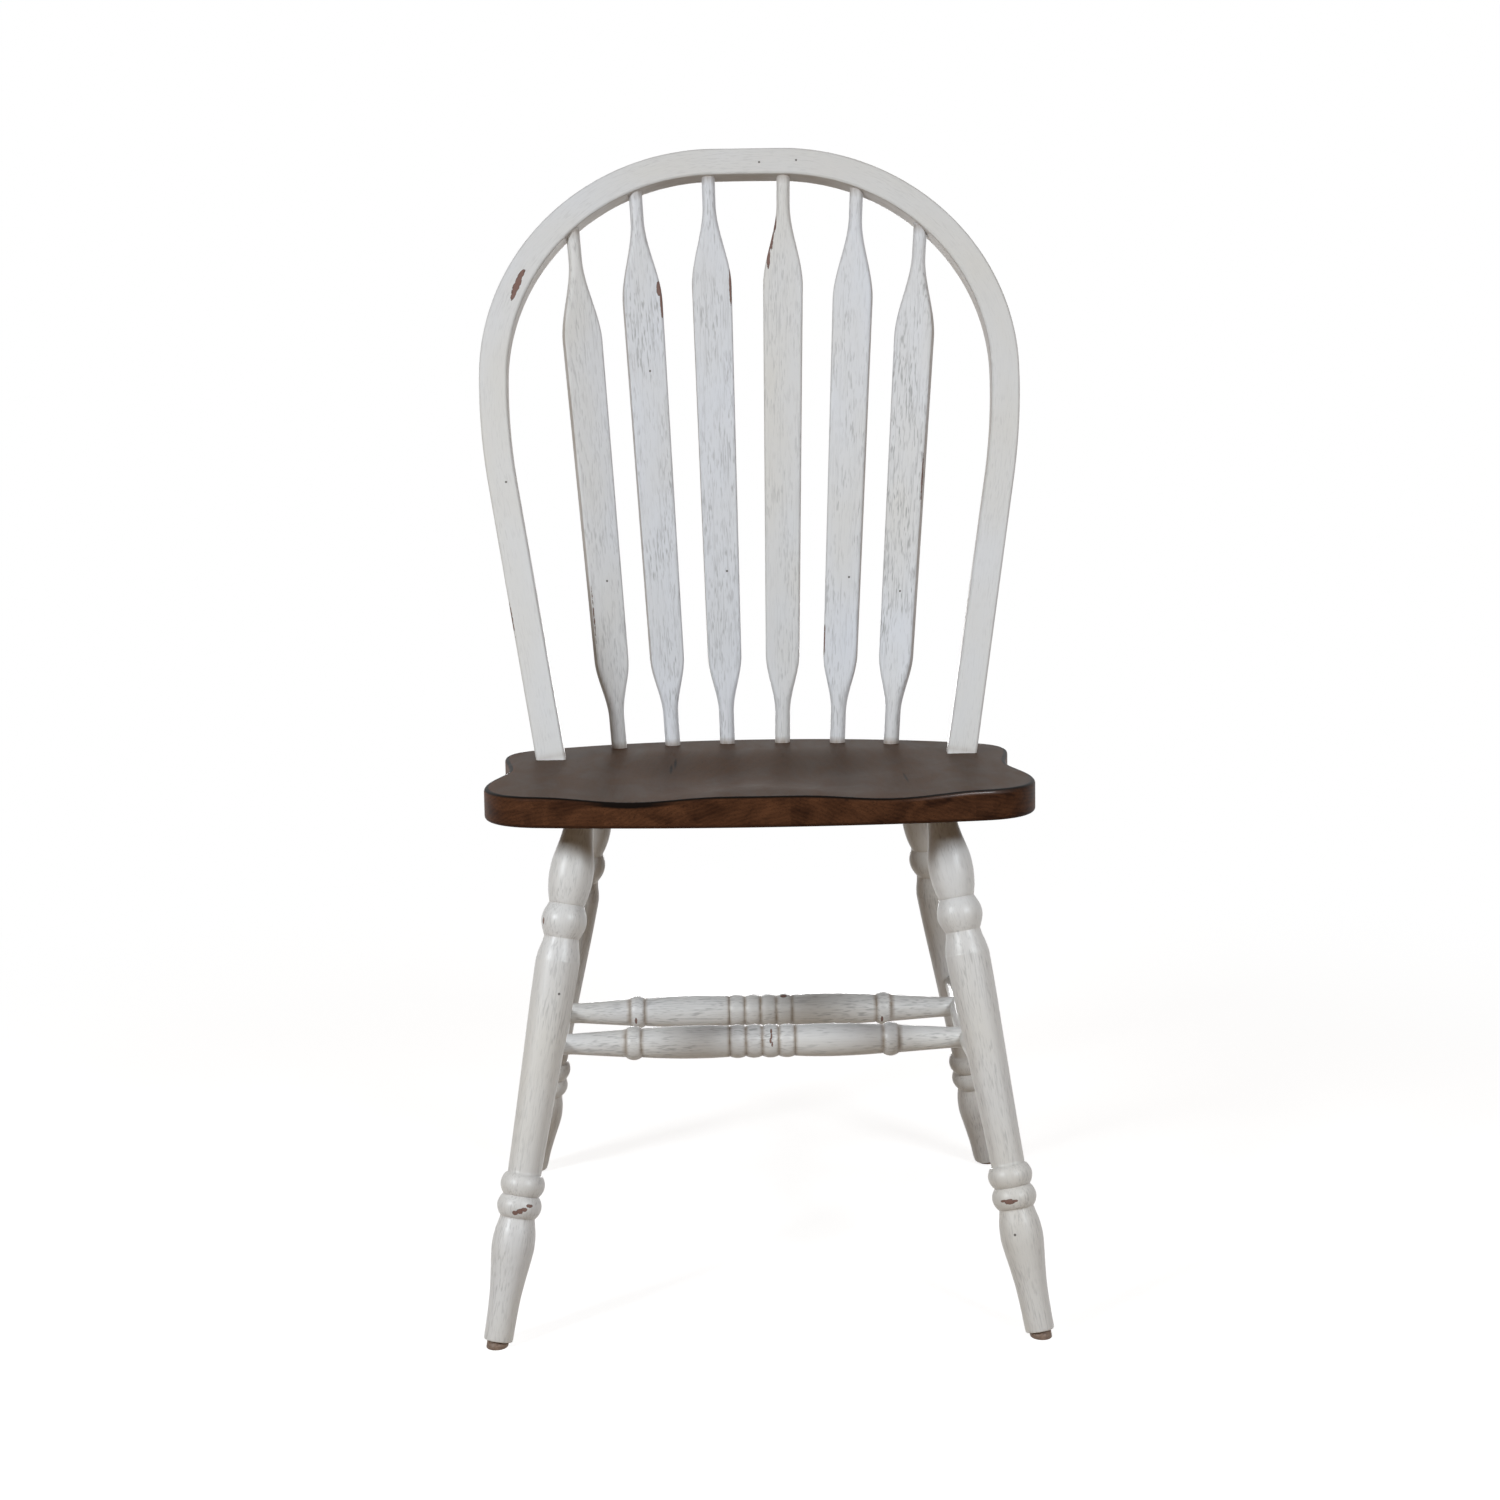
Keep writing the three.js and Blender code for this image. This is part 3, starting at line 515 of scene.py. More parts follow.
# A profile spun round the line from start towards end. Its places count from start, and may be negative.
def spin(name, profile, start, end, sides, slot, grooves=(), groove_width=1.8, groove_glaze=0.12):
    axis = unit(end - start)
    upright = (1, 0, 0) if abs(axis[2]) > 0.7 else (0, 0, 1)
    side = unit(np.array(upright) - axis * np.dot(upright, axis))
    front = np.cross(axis, side)
    profile = np.array(profile)
    turns = np.linspace(0, 2 * math.pi, sides, endpoint=False)
    wheel = np.column_stack([np.cos(turns), np.sin(turns)])
    rings, grain = [], []
    for at, dia in profile:
        flat = wheel * dia / 2
        rings.append(start + axis * at + flat[:, :1] * side + flat[:, 1:] * front)
        grain.append(np.column_stack([flat, np.full(sides, at)]))
    grain = np.array(grain)
    at = profile[:, 0]
    dark = np.zeros(len(at))
    for groove in grooves:
        dark = np.maximum(dark, np.exp(-((at - groove) / groove_width) ** 2))
    return make_skin(name, np.array(rings), grain, slot, glaze=dark[:, None] * groove_glaze)


print("a bead is cut in", len(bead(0, 1, 0, 1)), "steps")


# %% [markdown]
# ## The legs
#
# From the seat down: a cup that swells out of the tenon, a bulb between two grooves, a long tapering shaft,
# two rings, and a vase that runs out to the foot. The foot is cut square to the leg, and the glide below
# makes up the difference to the level floor.

# %% Sizes of the legs
# Lengths run down the leg, and the other sizes are diameters
leg = dict(tenon=23.5, cup_length=75, cup=37.4, groove=29.4, bulb_length=28.5, bulb=38.4, shaft_length=199,
           shaft=37.1, ankle=28.2, ring_length=17.9, ring=37.3, ring_groove=29.6, vase_length=109, vase=35.8,
           foot=24, foot_round=1.2, sunk=5)

# The turned forms of a leg, as shares for the curve
cup_shares = [(0.05, 0), (0.16, 0.14), (0.3, 0.38), (0.45, 0.73), (0.55, 0.93), (0.66, 1), (0.76, 0.96),
              (0.88, 0.79), (1, 0.46)]
shaft_shares = [(0, 0.13), (0.03, 0.36), (0.06, 0.7), (0.09, 0.93), (0.12, 1), (0.28, 0.88), (0.5, 0.57),
                (0.78, 0.21), (1, 0)]
vase_shares = [(0, 0.42), (0.05, 0.6), (0.12, 0.87), (0.22, 1), (0.31, 0.86), (0.45, 0.52), (0.6, 0.22),
               (0.75, 0.09), (1, 0)]
glide = dict(dia=18, height=4.4, gap=0.3, edge=0.7)

# Where the legs' axes enter the seat and where they meet the floor: across, and back from the front edge
leg_tops = {"front": (152, 86), "rear": (148.7, 331)}
leg_feet = {"front": (226.4, -22), "rear": (228.4, 408.3)}


def leg_axis(row, side):
    top_x, top_y = leg_tops[row]
    foot_x, foot_y = leg_feet[row]
    top = on_seat([side * top_x, top_y, -seat["thickness"]])
    return top, np.array([side * foot_x, foot_y, 0.0])


def at_height(axis, height):
    top, foot = axis
    return foot + (top - foot) * height / top[2]


for row in leg_tops:
    top, foot = leg_axis(row, 1)
    splay = math.degrees(math.atan2(foot[0] - top[0], top[2]))
    print("the", row, "legs splay by", round(splay, 1), "degrees")


# %% Turn the legs
# Where each turned form ends, counted from the seat's underside
cup_end = leg["cup_length"]
bulb_end = cup_end + leg["bulb_length"]
shaft_end = bulb_end + leg["shaft_length"]
ring_middle = shaft_end + leg["ring_length"]
rings_end = ring_middle + leg["ring_length"]
print("a leg's vase starts", round(rings_end, 1), "mm below the seat")


def leg_profile(length):
    whole = [(-leg["sunk"], leg["tenon"])]
    whole += swell(0, cup_end, leg["tenon"], leg["cup"], cup_shares, 40)
    whole += bead(cup_end, leg["bulb_length"], leg["groove"], leg["bulb"], fullness=1, steps=26)
    whole += swell(bulb_end, leg["shaft_length"], leg["ankle"], leg["shaft"], shaft_shares, 72)[1:]
    whole += bead(shaft_end, leg["ring_length"], leg["ring_groove"], leg["ring"])
    whole += bead(ring_middle, leg["ring_length"], leg["ring_groove"], leg["ring"])
    whole += swell(rings_end, leg["vase_length"], leg["foot"], leg["vase"], vase_shares, 44)[1:]
    kept = [p for p in whole if p[0] < length - leg["foot_round"] - 0.5]
    for turn in np.radians(np.linspace(0, 80, 5)):
        kept.append((length - leg["foot_round"] * (1 - math.sin(turn)),
                     leg["foot"] - 2 * leg["foot_round"] * (1 - math.cos(turn))))
    return kept


def make_leg(row, side):
    top, foot = axis = leg_axis(row, side)
    end = at_height(axis, glide["height"] + glide["gap"])
    length = np.linalg.norm(end - top)
    name = f"{row}_{'left' if side < 0 else 'right'}"
    turned = spin(f"turned_leg_{name}", leg_profile(length), top, foot, 64, "white_paint",
                  grooves=(1, cup_end, bulb_end, shaft_end, ring_middle, rings_end))
    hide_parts(f"leg_{name}")
    return turned, name, axis, length


# %% Cap the legs with glides
# A glide is a moulded brown button, square to the leg on top and level on the floor.
def make_glide(name, axis, length):
    top, foot = axis
    down = unit(foot - top)
    side = unit(np.cross(down, (0, 1, 0)))
    front = np.cross(down, side)
    turns = np.linspace(0, 2 * math.pi, 48, endpoint=False)
    wheel = np.cos(turns)[:, None] * side + np.sin(turns)[:, None] * front
    rings = []
    start = top + down * (length + glide["gap"])
    for out in (0.9, 1.0):
        rings.append(start + wheel * (glide["dia"] / 2 * out) + down * (out - 0.9) * 3)
    # The moulded lower edge: how high above the floor each ring is, and how far it is drawn in
    for lift, inset in ((glide["edge"], 0.0), (0.4, 0.1), (0.12, 0.35), (0.0, 0.75)):
        rim = rings[1]
        level = rim + down * ((rim[:, 2:] - lift) / -down[2])
        centre = start + down * ((start[2] - lift) / -down[2])
        rings.append(centre + (level - centre) * (1 - inset / (glide["dia"] / 2)))
    rings = np.array(rings)
    button = make_skin(f"floor_glide_{name}", rings, rings - foot, "glide_plastic")
    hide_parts(f"glide_{name}")
    return button


turned_legs, floor_glides, leg_axes = [], [], {}
for row, side in ((r, s) for r in ("front", "rear") for s in (-1, 1)):
    turned, name, axis, length = make_leg(row, side)
    turned_legs.append(turned)
    floor_glides.append(make_glide(name, axis, length))
    leg_axes[name] = axis
print("a leg is", round(length), "mm long under the seat")

# %% [markdown]
# ## The stretchers
#
# Two plain swelled side stretchers tie each front leg to the rear leg behind it. Two decorated cross
# stretchers tie the side stretchers: a ring near each end, a barrel on each side, and four beads in the
# middle.

# %% Sizes and profiles of the stretchers
side_stretcher = dict(height=202, end=18, middle=29, reach=4)
cross_stretcher = dict(front_y=169, rear_y=269, end=18.6, neck=25, reach=4, ring_at=115, ring_length=14,
                       ring=30.6, barrel=29.5, barrel_root=25.4, beads=4, bead_length=14.7, bead=30,
                       bead_groove=26.4)
swell_shares = [(0, 0), (0.12, 0.2), (0.3, 0.72), (0.5, 1), (0.7, 0.72), (0.88, 0.2), (1, 0)]
barrel_shares = [(0, 0.12), (0.2, 0.58), (0.45, 0.94), (0.65, 1), (0.85, 0.86), (1, 0.55)]
tenon_run_out = 7     # how far the straight end shows beyond the hole that it enters


def side_profile(half_span):
    bare = half_span - leg["shaft"] / 2 - tenon_run_out
    half = half_span + side_stretcher["reach"]
    return ([(-half, side_stretcher["end"])]
            + swell(-bare, bare * 2, side_stretcher["end"], side_stretcher["middle"], swell_shares, 80)
            + [(half, side_stretcher["end"])])


def cross_profile(half_span):
    c = cross_stretcher
    inner, outer = c["ring_at"] - c["ring_length"] / 2, c["ring_at"] + c["ring_length"] / 2
    beads_half = c["beads"] * c["bead_length"] / 2
    bare = half_span - side_stretcher["middle"] / 2
    half = [(-half_span - c["reach"], c["end"])]
    neck_start = tenon_run_out - bare
    half += [(blend(neck_start, -outer, t), blend(c["end"], c["neck"], t)) for t in np.linspace(0, 1, 12)]
    half += bead(-outer, c["ring_length"], c["barrel_root"], c["ring"])
    half += swell(-inner, inner - beads_half, c["barrel_root"], c["barrel"], barrel_shares, 36)[1:]
    half += [(-beads_half, c["bead_groove"])]
    middle = []
    for i in range(c["beads"]):
        middle += bead(c["bead_length"] * i - beads_half, c["bead_length"], c["bead_groove"], c["bead"])
    return half + middle[:-1] + [(-at, dia) for at, dia in half[::-1]]


print("the beads take", cross_stretcher["beads"] * cross_stretcher["bead_length"], "mm of a cross stretcher")


# %% Turn the stretchers
side_lines = {}
stretchers = []
for side in ("left", "right"):
    front = at_height(leg_axes[f"front_{side}"], side_stretcher["height"])
    rear = at_height(leg_axes[f"rear_{side}"], side_stretcher["height"])
    middle = (front + rear) / 2
    half_span = np.linalg.norm(rear - front) / 2
    rung = spin(f"side_rung_{side}", side_profile(half_span), middle, rear, 44, "white_paint")
    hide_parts(f"stretcher_side_{side}")
    stretchers.append(rung)
    side_lines[side] = front, rear

beads_half = cross_stretcher["beads"] * cross_stretcher["bead_length"] / 2
grooves = list(np.linspace(-beads_half, beads_half, cross_stretcher["beads"] + 1))
for centre in (-cross_stretcher["ring_at"], cross_stretcher["ring_at"]):
    grooves += [centre - cross_stretcher["ring_length"] / 2, centre + cross_stretcher["ring_length"] / 2]

for row in ("front", "rear"):
    ends = []
    for side in ("left", "right"):
        front, rear = side_lines[side]
        ends.append(blend(front, rear, (cross_stretcher[f"{row}_y"] - front[1]) / (rear[1] - front[1])))
    middle = (ends[0] + ends[1]) / 2
    half_span = np.linalg.norm(ends[1] - ends[0]) / 2
    # In the cross stretchers the grooves are darkened wide and strong: glaze, and painted shade of the
    # valleys
    rung = spin(f"cross_rung_{row}", cross_profile(half_span), middle, ends[1], 48, "white_paint",
                grooves=grooves, groove_width=1.7, groove_glaze=0.85)
    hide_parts(f"stretcher_cross_{row}")
    stretchers.append(rung)
print("four stretchers, the front one", round(2 * half_span), "mm between the side stretchers' middles")

# %% [markdown]
# ## Finishes
#
# Every finish starts from the real substance. One helper turns a paint-shop colour into the linear numbers
# that the renderer wants. Another adds a node with its settings and links, so that each line below is one
# box of the shader.

# %% Colour and node helpers
def tint(code):
    channels = [int(code[i:i + 2], 16) / 255 for i in (1, 3, 5)]
    return tuple(c / 12.92 if c <= 0.04045 else ((c + 0.055) / 1.055) ** 2.4 for c in channels) + (1.0,)


# A node given as an input stands for its first output in use. Some inputs go by number: in Map Range, 0 is
# the value, 1 and 2 are the range it comes from, and 3 and 4 the range it goes to. In Mix, 0 is the share,
# 2 and 3 are two numbers, and 6 and 7 two colours.
def add_node(tree, kind, inputs=None, **settings):
    node = tree.nodes.new("ShaderNode" + kind)
    for name, value in settings.items():
        setattr(node, name, value)
    for socket, value in (inputs or {}).items():
        if isinstance(value, bpy.types.Node):
            value = next(output for output in value.outputs if output.enabled)
        if isinstance(value, bpy.types.NodeSocket):
            tree.links.new(value, node.inputs[socket])
        else:
            node.inputs[socket].default_value = value
    return node


def new_material(name):
    material = bpy.data.materials.new(name)
    material.use_nodes = True
    material.node_tree.nodes.clear()
    return material, material.node_tree


# Sizes in millimetres to the multipliers that a noise needs
def per_size(across, through, along):
    return (1 / (across * MM), 1 / (through * MM), 1 / (along * MM))


print("a mid grey of #808080 is", round(tint("#808080")[0], 3), "in linear light")

# %% [markdown]
# ### Places rubbed bare
#
# Here and there the paint is rubbed through to brown wood, and a few dark specks are flicked on. Each such
# mark is told by its middle, its half sizes and its strength, in the stick's own millimetres: across,
# through and along. The marks could be painted on an image, or on the points. Here the shader measures the
# way to every mark itself, so a mark stays sharp however coarse the mesh is.

# %% Marks in the paint
rubbed_marks = {
    "bow_hoop": [((-4.0, -10.5, 1038), (1.9, 5, 6), 1), ((-3.1, -10.5, 1029), (3.0, 5, 9), 1),
                 ((-2.0, -10.5, 1019), (2.4, 5, 9), 1), ((12.8, -9, 1362), (0.9, 3, 20), 0.65)],
    # The long mark down the first spindle's left edge is a brown rim, partly glaze and partly painted shade
    "spindle_blade_1": [((-15.4, -4.6, 128), (0.9, 2, 42), 0.5)],
    "spindle_blade_2": [((16.0, -5, 443), (2.6, 3, 7), 1), ((17.4, -4.5, 428), (1.3, 2.5, 16), 1)],
    "spindle_blade_3": [((17.6, -4.5, 443), (1.2, 2.5, 18), 1)],
    "spindle_blade_4": [((-8.2, -4.5, 507), (1.9, 3, 12), 0.9), ((-11.0, -4.5, 492), (2.1, 3, 14), 0.95),
                        ((-14.0, -4.5, 474), (1.8, 3, 15), 0.9)],
    "spindle_blade_5": [((-15.6, -4.6, 98), (1.0, 2.2, 15), 1)],
    "spindle_blade_6": [((17.4, -4, 256), (0.7, 3, 32), 0.6)],
    "turned_leg_front_left": [((-1.2, 17.7, 333.6), (2.4, 4, 1.9), 1), ((2.2, 18.1, 332), (2.6, 4, 2.1), 1),
                              ((5.6, 17.5, 330), (2.6, 4, 1.6), 1), ((9.4, 15.6, 326.6), (2.4, 4, 1.4), 1),
                              ((-16.4, 9.5, 92), (1.3, 1.5, 3), 1)],
    "turned_leg_front_right": [((-10.8, 15.2, 329.6), (2.6, 4, 1.1), 1),
                               ((-6.2, 17.4, 330.8), (4.6, 4, 2.1), 1),
                               ((-1.8, 18.4, 330.8), (2.4, 4, 1.0), 1)],
    "cross_rung_front": [((11.4, 9.6, 7.9), (2.0, 4, 0.9), 1), ((8.0, 12.6, 8.1), (2.4, 4, 0.8), 1),
                         ((4.2, 14.4, 7.2), (2.4, 4, 0.9), 1), ((0.9, 14.8, 8.6), (2.2, 4, 0.8), 1)],
    "cross_rung_rear": [((14.4, 4.1, 21.7), (1.4, 3, 3), 1), ((-4.3, 14.6, -116.3), (3.2, 4, 1.1), 1),
                        ((-6.9, 13.4, 113.2), (3.4, 4, 1.1), 1)],
}
specks = {
    "bow_hoop": [(0.4, -10.5, 705.6), (-3.5, -10.5, 1229.5), (-2.2, -10.5, 741.5)],
    "spindle_blade_1": [(0.8, -5.5, 160.7)],
    "spindle_blade_2": [(1.5, -5.5, 362.8)],
    "spindle_blade_3": [(4.8, -5.4, 166.8)],
    "spindle_blade_5": [(6.8, -5.4, 159.9)],
    "spindle_blade_6": [(2.0, -5.5, 146.5)],
    "turned_leg_front_left": [(6.5, 17.0, 150.1)],
    "turned_leg_front_right": [(-7.0, 16.3, 358.4)],
}
SPECK_HALF = 1.05


def mark_share(tree, grain, marks):
    share = 0.0
    for middle, half_sizes, strength in marks:
        scale = [1 / (size * MM) for size in half_sizes]
        shift = [-place / size for place, size in zip(middle, half_sizes)]
        away = add_node(tree, "VectorMath", {0: grain, 1: scale, 2: shift}, operation="MULTIPLY_ADD")
        away = add_node(tree, "VectorMath", {0: away}, operation="LENGTH")
        inside = add_node(tree, "MapRange", {0: away, 1: 0.5, 2: 1.5, 3: strength, 4: 0.0})
        share = add_node(tree, "Math", {0: share, 1: inside}, operation="MAXIMUM")
    return share


print("rubbed marks:", sum(map(len, rubbed_marks.values())), "specks:", sum(map(len, specks.values())))

# %% [markdown]
# ### Worn white paint
#
# The sticks are ash under an off-white milk paint, rubbed back so that the open grain shows as short grey
# streaks, then wiped with a brown glaze that stays in the grooves. A satin varnish over it holds a soft,
# long shine. The streaks are about 1 mm wide; most are 4 to 8 mm long and some reach 30 mm. Real pores are
# finer, and are drawn this coarse so that they show. An image of worn paint would repeat from stick to
# stick. Noise that is stretched along each stick's own grain doesn't.

# %% Streaks of open grain
STROKE_WIDTH, SHORT_STROKE, LONG_STROKE = 1.5, 11, 34     # cells of the noise, in millimetres


def grain_streaks(tree, grain, strength):
    # Short strokes, and a few long ones
    cell = per_size(STROKE_WIDTH, STROKE_WIDTH, SHORT_STROKE)
    at = add_node(tree, "VectorMath", {0: grain, 1: cell}, operation="MULTIPLY")
    short = add_node(tree, "TexNoise", {"Vector": at, "Scale": 1.0, "Detail": 1.0, "Roughness": 0.6})
    short = add_node(tree, "MapRange", {0: short, 1: 0.52, 2: 0.7})
    cell = per_size(STROKE_WIDTH, STROKE_WIDTH, LONG_STROKE)
    at = add_node(tree, "VectorMath", {0: grain, 1: cell}, operation="MULTIPLY")
    long = add_node(tree, "TexNoise", {"Vector": at, "Scale": 1.0, "Detail": 2.0, "Roughness": 0.55,
                                       "Distortion": 0.25})
    long = add_node(tree, "MapRange", {0: long, 1: 0.55, 2: 0.72, 3: 0.0, 4: 0.8})
    streak = add_node(tree, "Math", {0: short, 1: long}, operation="MAXIMUM")

    # Both gather in patches
    at = add_node(tree, "VectorMath", {0: grain, 1: per_size(15, 15, 50)}, operation="MULTIPLY")
    patch = add_node(tree, "TexNoise", {"Vector": at, "Scale": 1.0, "Detail": 1.0})
    patch = add_node(tree, "MapRange", {0: patch, 1: 0.36, 2: 0.62, 3: 0.25 * strength, 4: strength})
    return add_node(tree, "Math", {0: streak, 1: patch}, operation="MULTIPLY")


print("the strokes come from cells", STROKE_WIDTH, "mm wide and", SHORT_STROKE, "or", LONG_STROKE, "mm long")


# %% Bare wood with a ragged dark rim, and specks
def rubbed_shares(tree, name, stick, grain):
    worn = mark_share(tree, stick, rubbed_marks.get(name, []))
    at = add_node(tree, "VectorMath", {0: grain, 1: per_size(2, 2, 4)}, operation="MULTIPLY")
    ragged = add_node(tree, "TexNoise", {"Vector": at, "Scale": 1.0, "Detail": 4.0, "Roughness": 0.65})
    ragged = add_node(tree, "Math", {0: worn, 1: ragged}, operation="MULTIPLY")
    rim = add_node(tree, "MapRange", {0: ragged, 1: 0.2, 2: 0.26})
    bare = add_node(tree, "MapRange", {0: ragged, 1: 0.27, 2: 0.36})
    dots = mark_share(tree, stick, [(place, (SPECK_HALF,) * 3, 1) for place in specks.get(name, [])])
    dots = add_node(tree, "MapRange", {0: dots, 1: 0.35, 2: 0.6, 3: 0.0, 4: 0.9})
    return rim, bare, dots


print("a speck is about", round(2 * SPECK_HALF), "mm across")


# %% Mix the worn white paint
WHITE_COOL, WHITE_WARM = tint("#e6eaf1"), tint("#e3e2de")
STREAK, GLAZE_AND_SHADE, EDGE_SHADE = tint("#8f8f8f"), tint("#8a7660"), tint("#77716b")
BARE_WOOD, BARE_RIM, SPECK = tint("#7e6158"), tint("#5a423a"), tint("#4a4340")
print("the warm white in linear light:", [round(channel, 2) for channel in WHITE_WARM[:3]])


def worn_white(name, warmth, streaks, roughness, shift):
    material, tree = new_material(f"worn_white_on_{name}")
    stick = add_node(tree, "Attribute", attribute_name="grain").outputs["Vector"]
    glaze = add_node(tree, "Attribute", attribute_name="glaze").outputs["Fac"]
    arris = add_node(tree, "Attribute", attribute_name="arris").outputs["Fac"]
    grain = add_node(tree, "VectorMath", {0: stick, 1: (0, 0, shift)}, operation="ADD")

    # Broad drifts between cool and warm white, a hand's breadth long
    at = add_node(tree, "VectorMath", {0: grain, 1: per_size(60, 60, 140)}, operation="MULTIPLY")
    drift = add_node(tree, "TexNoise", {"Vector": at, "Scale": 1.0, "Detail": 2.0})
    drift = add_node(tree, "MapRange", {0: drift, 1: 0.3, 2: 0.7, 3: max(warmth - 0.35, 0),
                                        4: min(warmth + 0.35, 1)})
    streak = grain_streaks(tree, grain, streaks)

    # Glaze left in the grooves and painted shade at joints, on inner faces and narrow sides, uneven along the
    # stick
    at = add_node(tree, "VectorMath", {0: grain, 1: per_size(6, 6, 30)}, operation="MULTIPLY")
    smear = add_node(tree, "TexNoise", {"Vector": at, "Scale": 1.0, "Detail": 3.0})
    smear = add_node(tree, "MapRange", {0: smear, 1: 0.3, 2: 0.65, 3: 0.6, 4: 1.0})
    held_glaze_and_shade = add_node(tree, "Math", {0: glaze, 1: smear}, operation="MULTIPLY")

    # Painted shade: soft grey lines along the edges, where the surface turns away
    line = add_node(tree, "Math", {0: arris, 1: smear}, operation="MULTIPLY")
    line = add_node(tree, "MapRange", {0: line, 1: 0.5, 2: 1.0, 3: 0.0, 4: 0.14})

    # Each coat lies over the ones before it
    rim, bare, dots = rubbed_shares(tree, name, stick, grain)
    paint = WHITE_COOL
    for share, colour in ((drift, WHITE_WARM), (streak, STREAK), (held_glaze_and_shade, GLAZE_AND_SHADE), (line, EDGE_SHADE),
                          (rim, BARE_RIM), (bare, BARE_WOOD), (dots, SPECK)):
        paint = add_node(tree, "Mix", {0: share, 6: paint, 7: colour}, data_type="RGBA")

    # Bare wood is rougher than paint, and it and the open grain lie a little deeper
    rough = add_node(tree, "MapRange", {0: drift, 3: roughness, 4: roughness + 0.08})
    rough = add_node(tree, "Mix", {0: bare, 2: rough, 3: 0.65})
    height = add_node(tree, "Math", {0: streak, 1: bare}, operation="ADD")
    bump = add_node(tree, "Bump", {"Height": height, "Strength": 0.35, "Distance": 0.12 * MM}, invert=True)
    surface = add_node(tree, "BsdfPrincipled", {"Base Color": paint, "Roughness": rough, "Normal": bump,
                                                "IOR": 1.5})
    add_node(tree, "OutputMaterial", {"Surface": surface})
    return material


# %% Paint the sticks
# How warm each stick's white is, how strongly its grain shows, and how rough it is. Legs and stretchers were
# polished on the lathe, so they are smoother.
turned_finish = (0.9, 0.36, 0.32)
finish = {
    "bow_hoop": (0.75, 0.17, 0.5),
    "spindle_blade_1": (0.6, 0.4, 0.52),
    "spindle_blade_2": (0.1, 0.6, 0.52),
    "spindle_blade_3": (0.0, 0.5, 0.52),
    "spindle_blade_4": (0.65, 0.35, 0.52),
    "spindle_blade_5": (0.35, 0.45, 0.52),
    "spindle_blade_6": (0.45, 0.72, 0.52),
    "cross_rung_front": (0.9, 0.6, 0.32),
    "cross_rung_rear": (0.9, 0.6, 0.32),
}
STICK_SHIFT = 0.7      # metres along the wood from one stick to the next, so that no two have the same grain
white_pieces = [bow_hoop] + spindle_blades + turned_legs + stretchers
for number, piece in enumerate(white_pieces):
    warmth, streaks, roughness = finish.get(piece.name, turned_finish)
    paint = worn_white(piece.name, warmth, streaks, roughness, number * STICK_SHIFT)
    piece.data.materials.append(paint)
print("white pieces:", len(white_pieces))

# %% [markdown]
# ### Stained seat
#
# The seat is a close-grained hardwood under a walnut stain and a thin oil that has sunk in, so it is deep
# in colour and has hardly any shine. The boards are about 76 mm wide and differ a little in tone. Growth
# rings are slices of cylinders round each board's own heart, so one pattern gives long lines on top and
# flat arcs on the front edge, where an image of boards would stretch. The upper edge is burnished nearly
# black, in a thin line that widens over the left scoop.

# %% Boards and growth rings
BOARD_WIDTH = 76
SEAM_SHIFT = 0.69      # puts the seams between the boards, in board widths
FIRST_LOT = 3.0        # picks the run of random tones that the boards take
RING_WIDTH = 3.4
RING_SWAY = 9          # how far the slow noise bends a ring
print("growth rings are", RING_WIDTH, "mm apart, on boards", BOARD_WIDTH, "mm wide")


# Three random numbers for the board that a place is in
def board_lots(tree, across):
    board = add_node(tree, "Math", {0: across, 1: 1 / (BOARD_WIDTH * MM), 2: SEAM_SHIFT},
                     operation="MULTIPLY_ADD")
    board = add_node(tree, "Math", {0: board}, operation="FLOOR")
    board = add_node(tree, "Math", {0: board, 1: FIRST_LOT}, operation="ADD")
    lot = add_node(tree, "TexWhiteNoise", {"W": board}, noise_dimensions="1D")
    return add_node(tree, "SeparateColor", {0: lot.outputs["Color"]}).outputs


# Rings round the board's heart, deep under the seat, bent by a slow noise that is long along the wood
def growth_rings(tree, grain, across, up, lots):
    at = add_node(tree, "VectorMath", {0: grain, 1: per_size(24, 13, 260)}, operation="MULTIPLY")
    sway = add_node(tree, "TexNoise", {"Vector": at, "Scale": 1.0, "Detail": 4.0, "Roughness": 0.6})
    heart_across = add_node(tree, "MapRange", {0: lots[0], 3: -0.16, 4: 0.16})
    heart_depth = add_node(tree, "MapRange", {0: lots[1], 3: 0.28, 4: 0.5})
    from_across = add_node(tree, "Math", {0: across, 1: heart_across}, operation="SUBTRACT")
    from_depth = add_node(tree, "Math", {0: up, 1: heart_depth}, operation="ADD")
    reach = add_node(tree, "CombineXYZ", {0: from_across, 1: from_depth})
    radius = add_node(tree, "VectorMath", {0: reach}, operation="LENGTH")
    bent = add_node(tree, "Math", {0: sway, 1: RING_SWAY * MM, 2: radius}, operation="MULTIPLY_ADD")
    ring = add_node(tree, "Math", {0: bent, 1: 2 * math.pi / (RING_WIDTH * MM)}, operation="MULTIPLY")
    return add_node(tree, "Math", {0: ring}, operation="SINE")


# %% Stain the seat
WOOD_DARK, WOOD_MID, WOOD_LIGHT = tint("#150c08"), tint("#28160e"), tint("#613f2a")
# The grey mixed over the top is a painted sheen, standing in for the soft shine of the finish
BURNISHED, SHEEN_GREY = tint("#110b08"), tint("#3f2f20")

# Old scratches and nicks: across, height from the flat top, and back from the front edge
seat_scratches = [((-78.3, -6, 241), (1.2, 5, 19), 1), ((-75, -4.5, 266), (1.2, 5, 19), 1),
                  ((127.4, -4, 138), (1.0, 4, 28), 0.9), ((69, -2.3, 5.5), (2.2, 3, 3), 0.7),
                  ((74, -2.5, 7.5), (1.6, 3, 4), 0.6)]


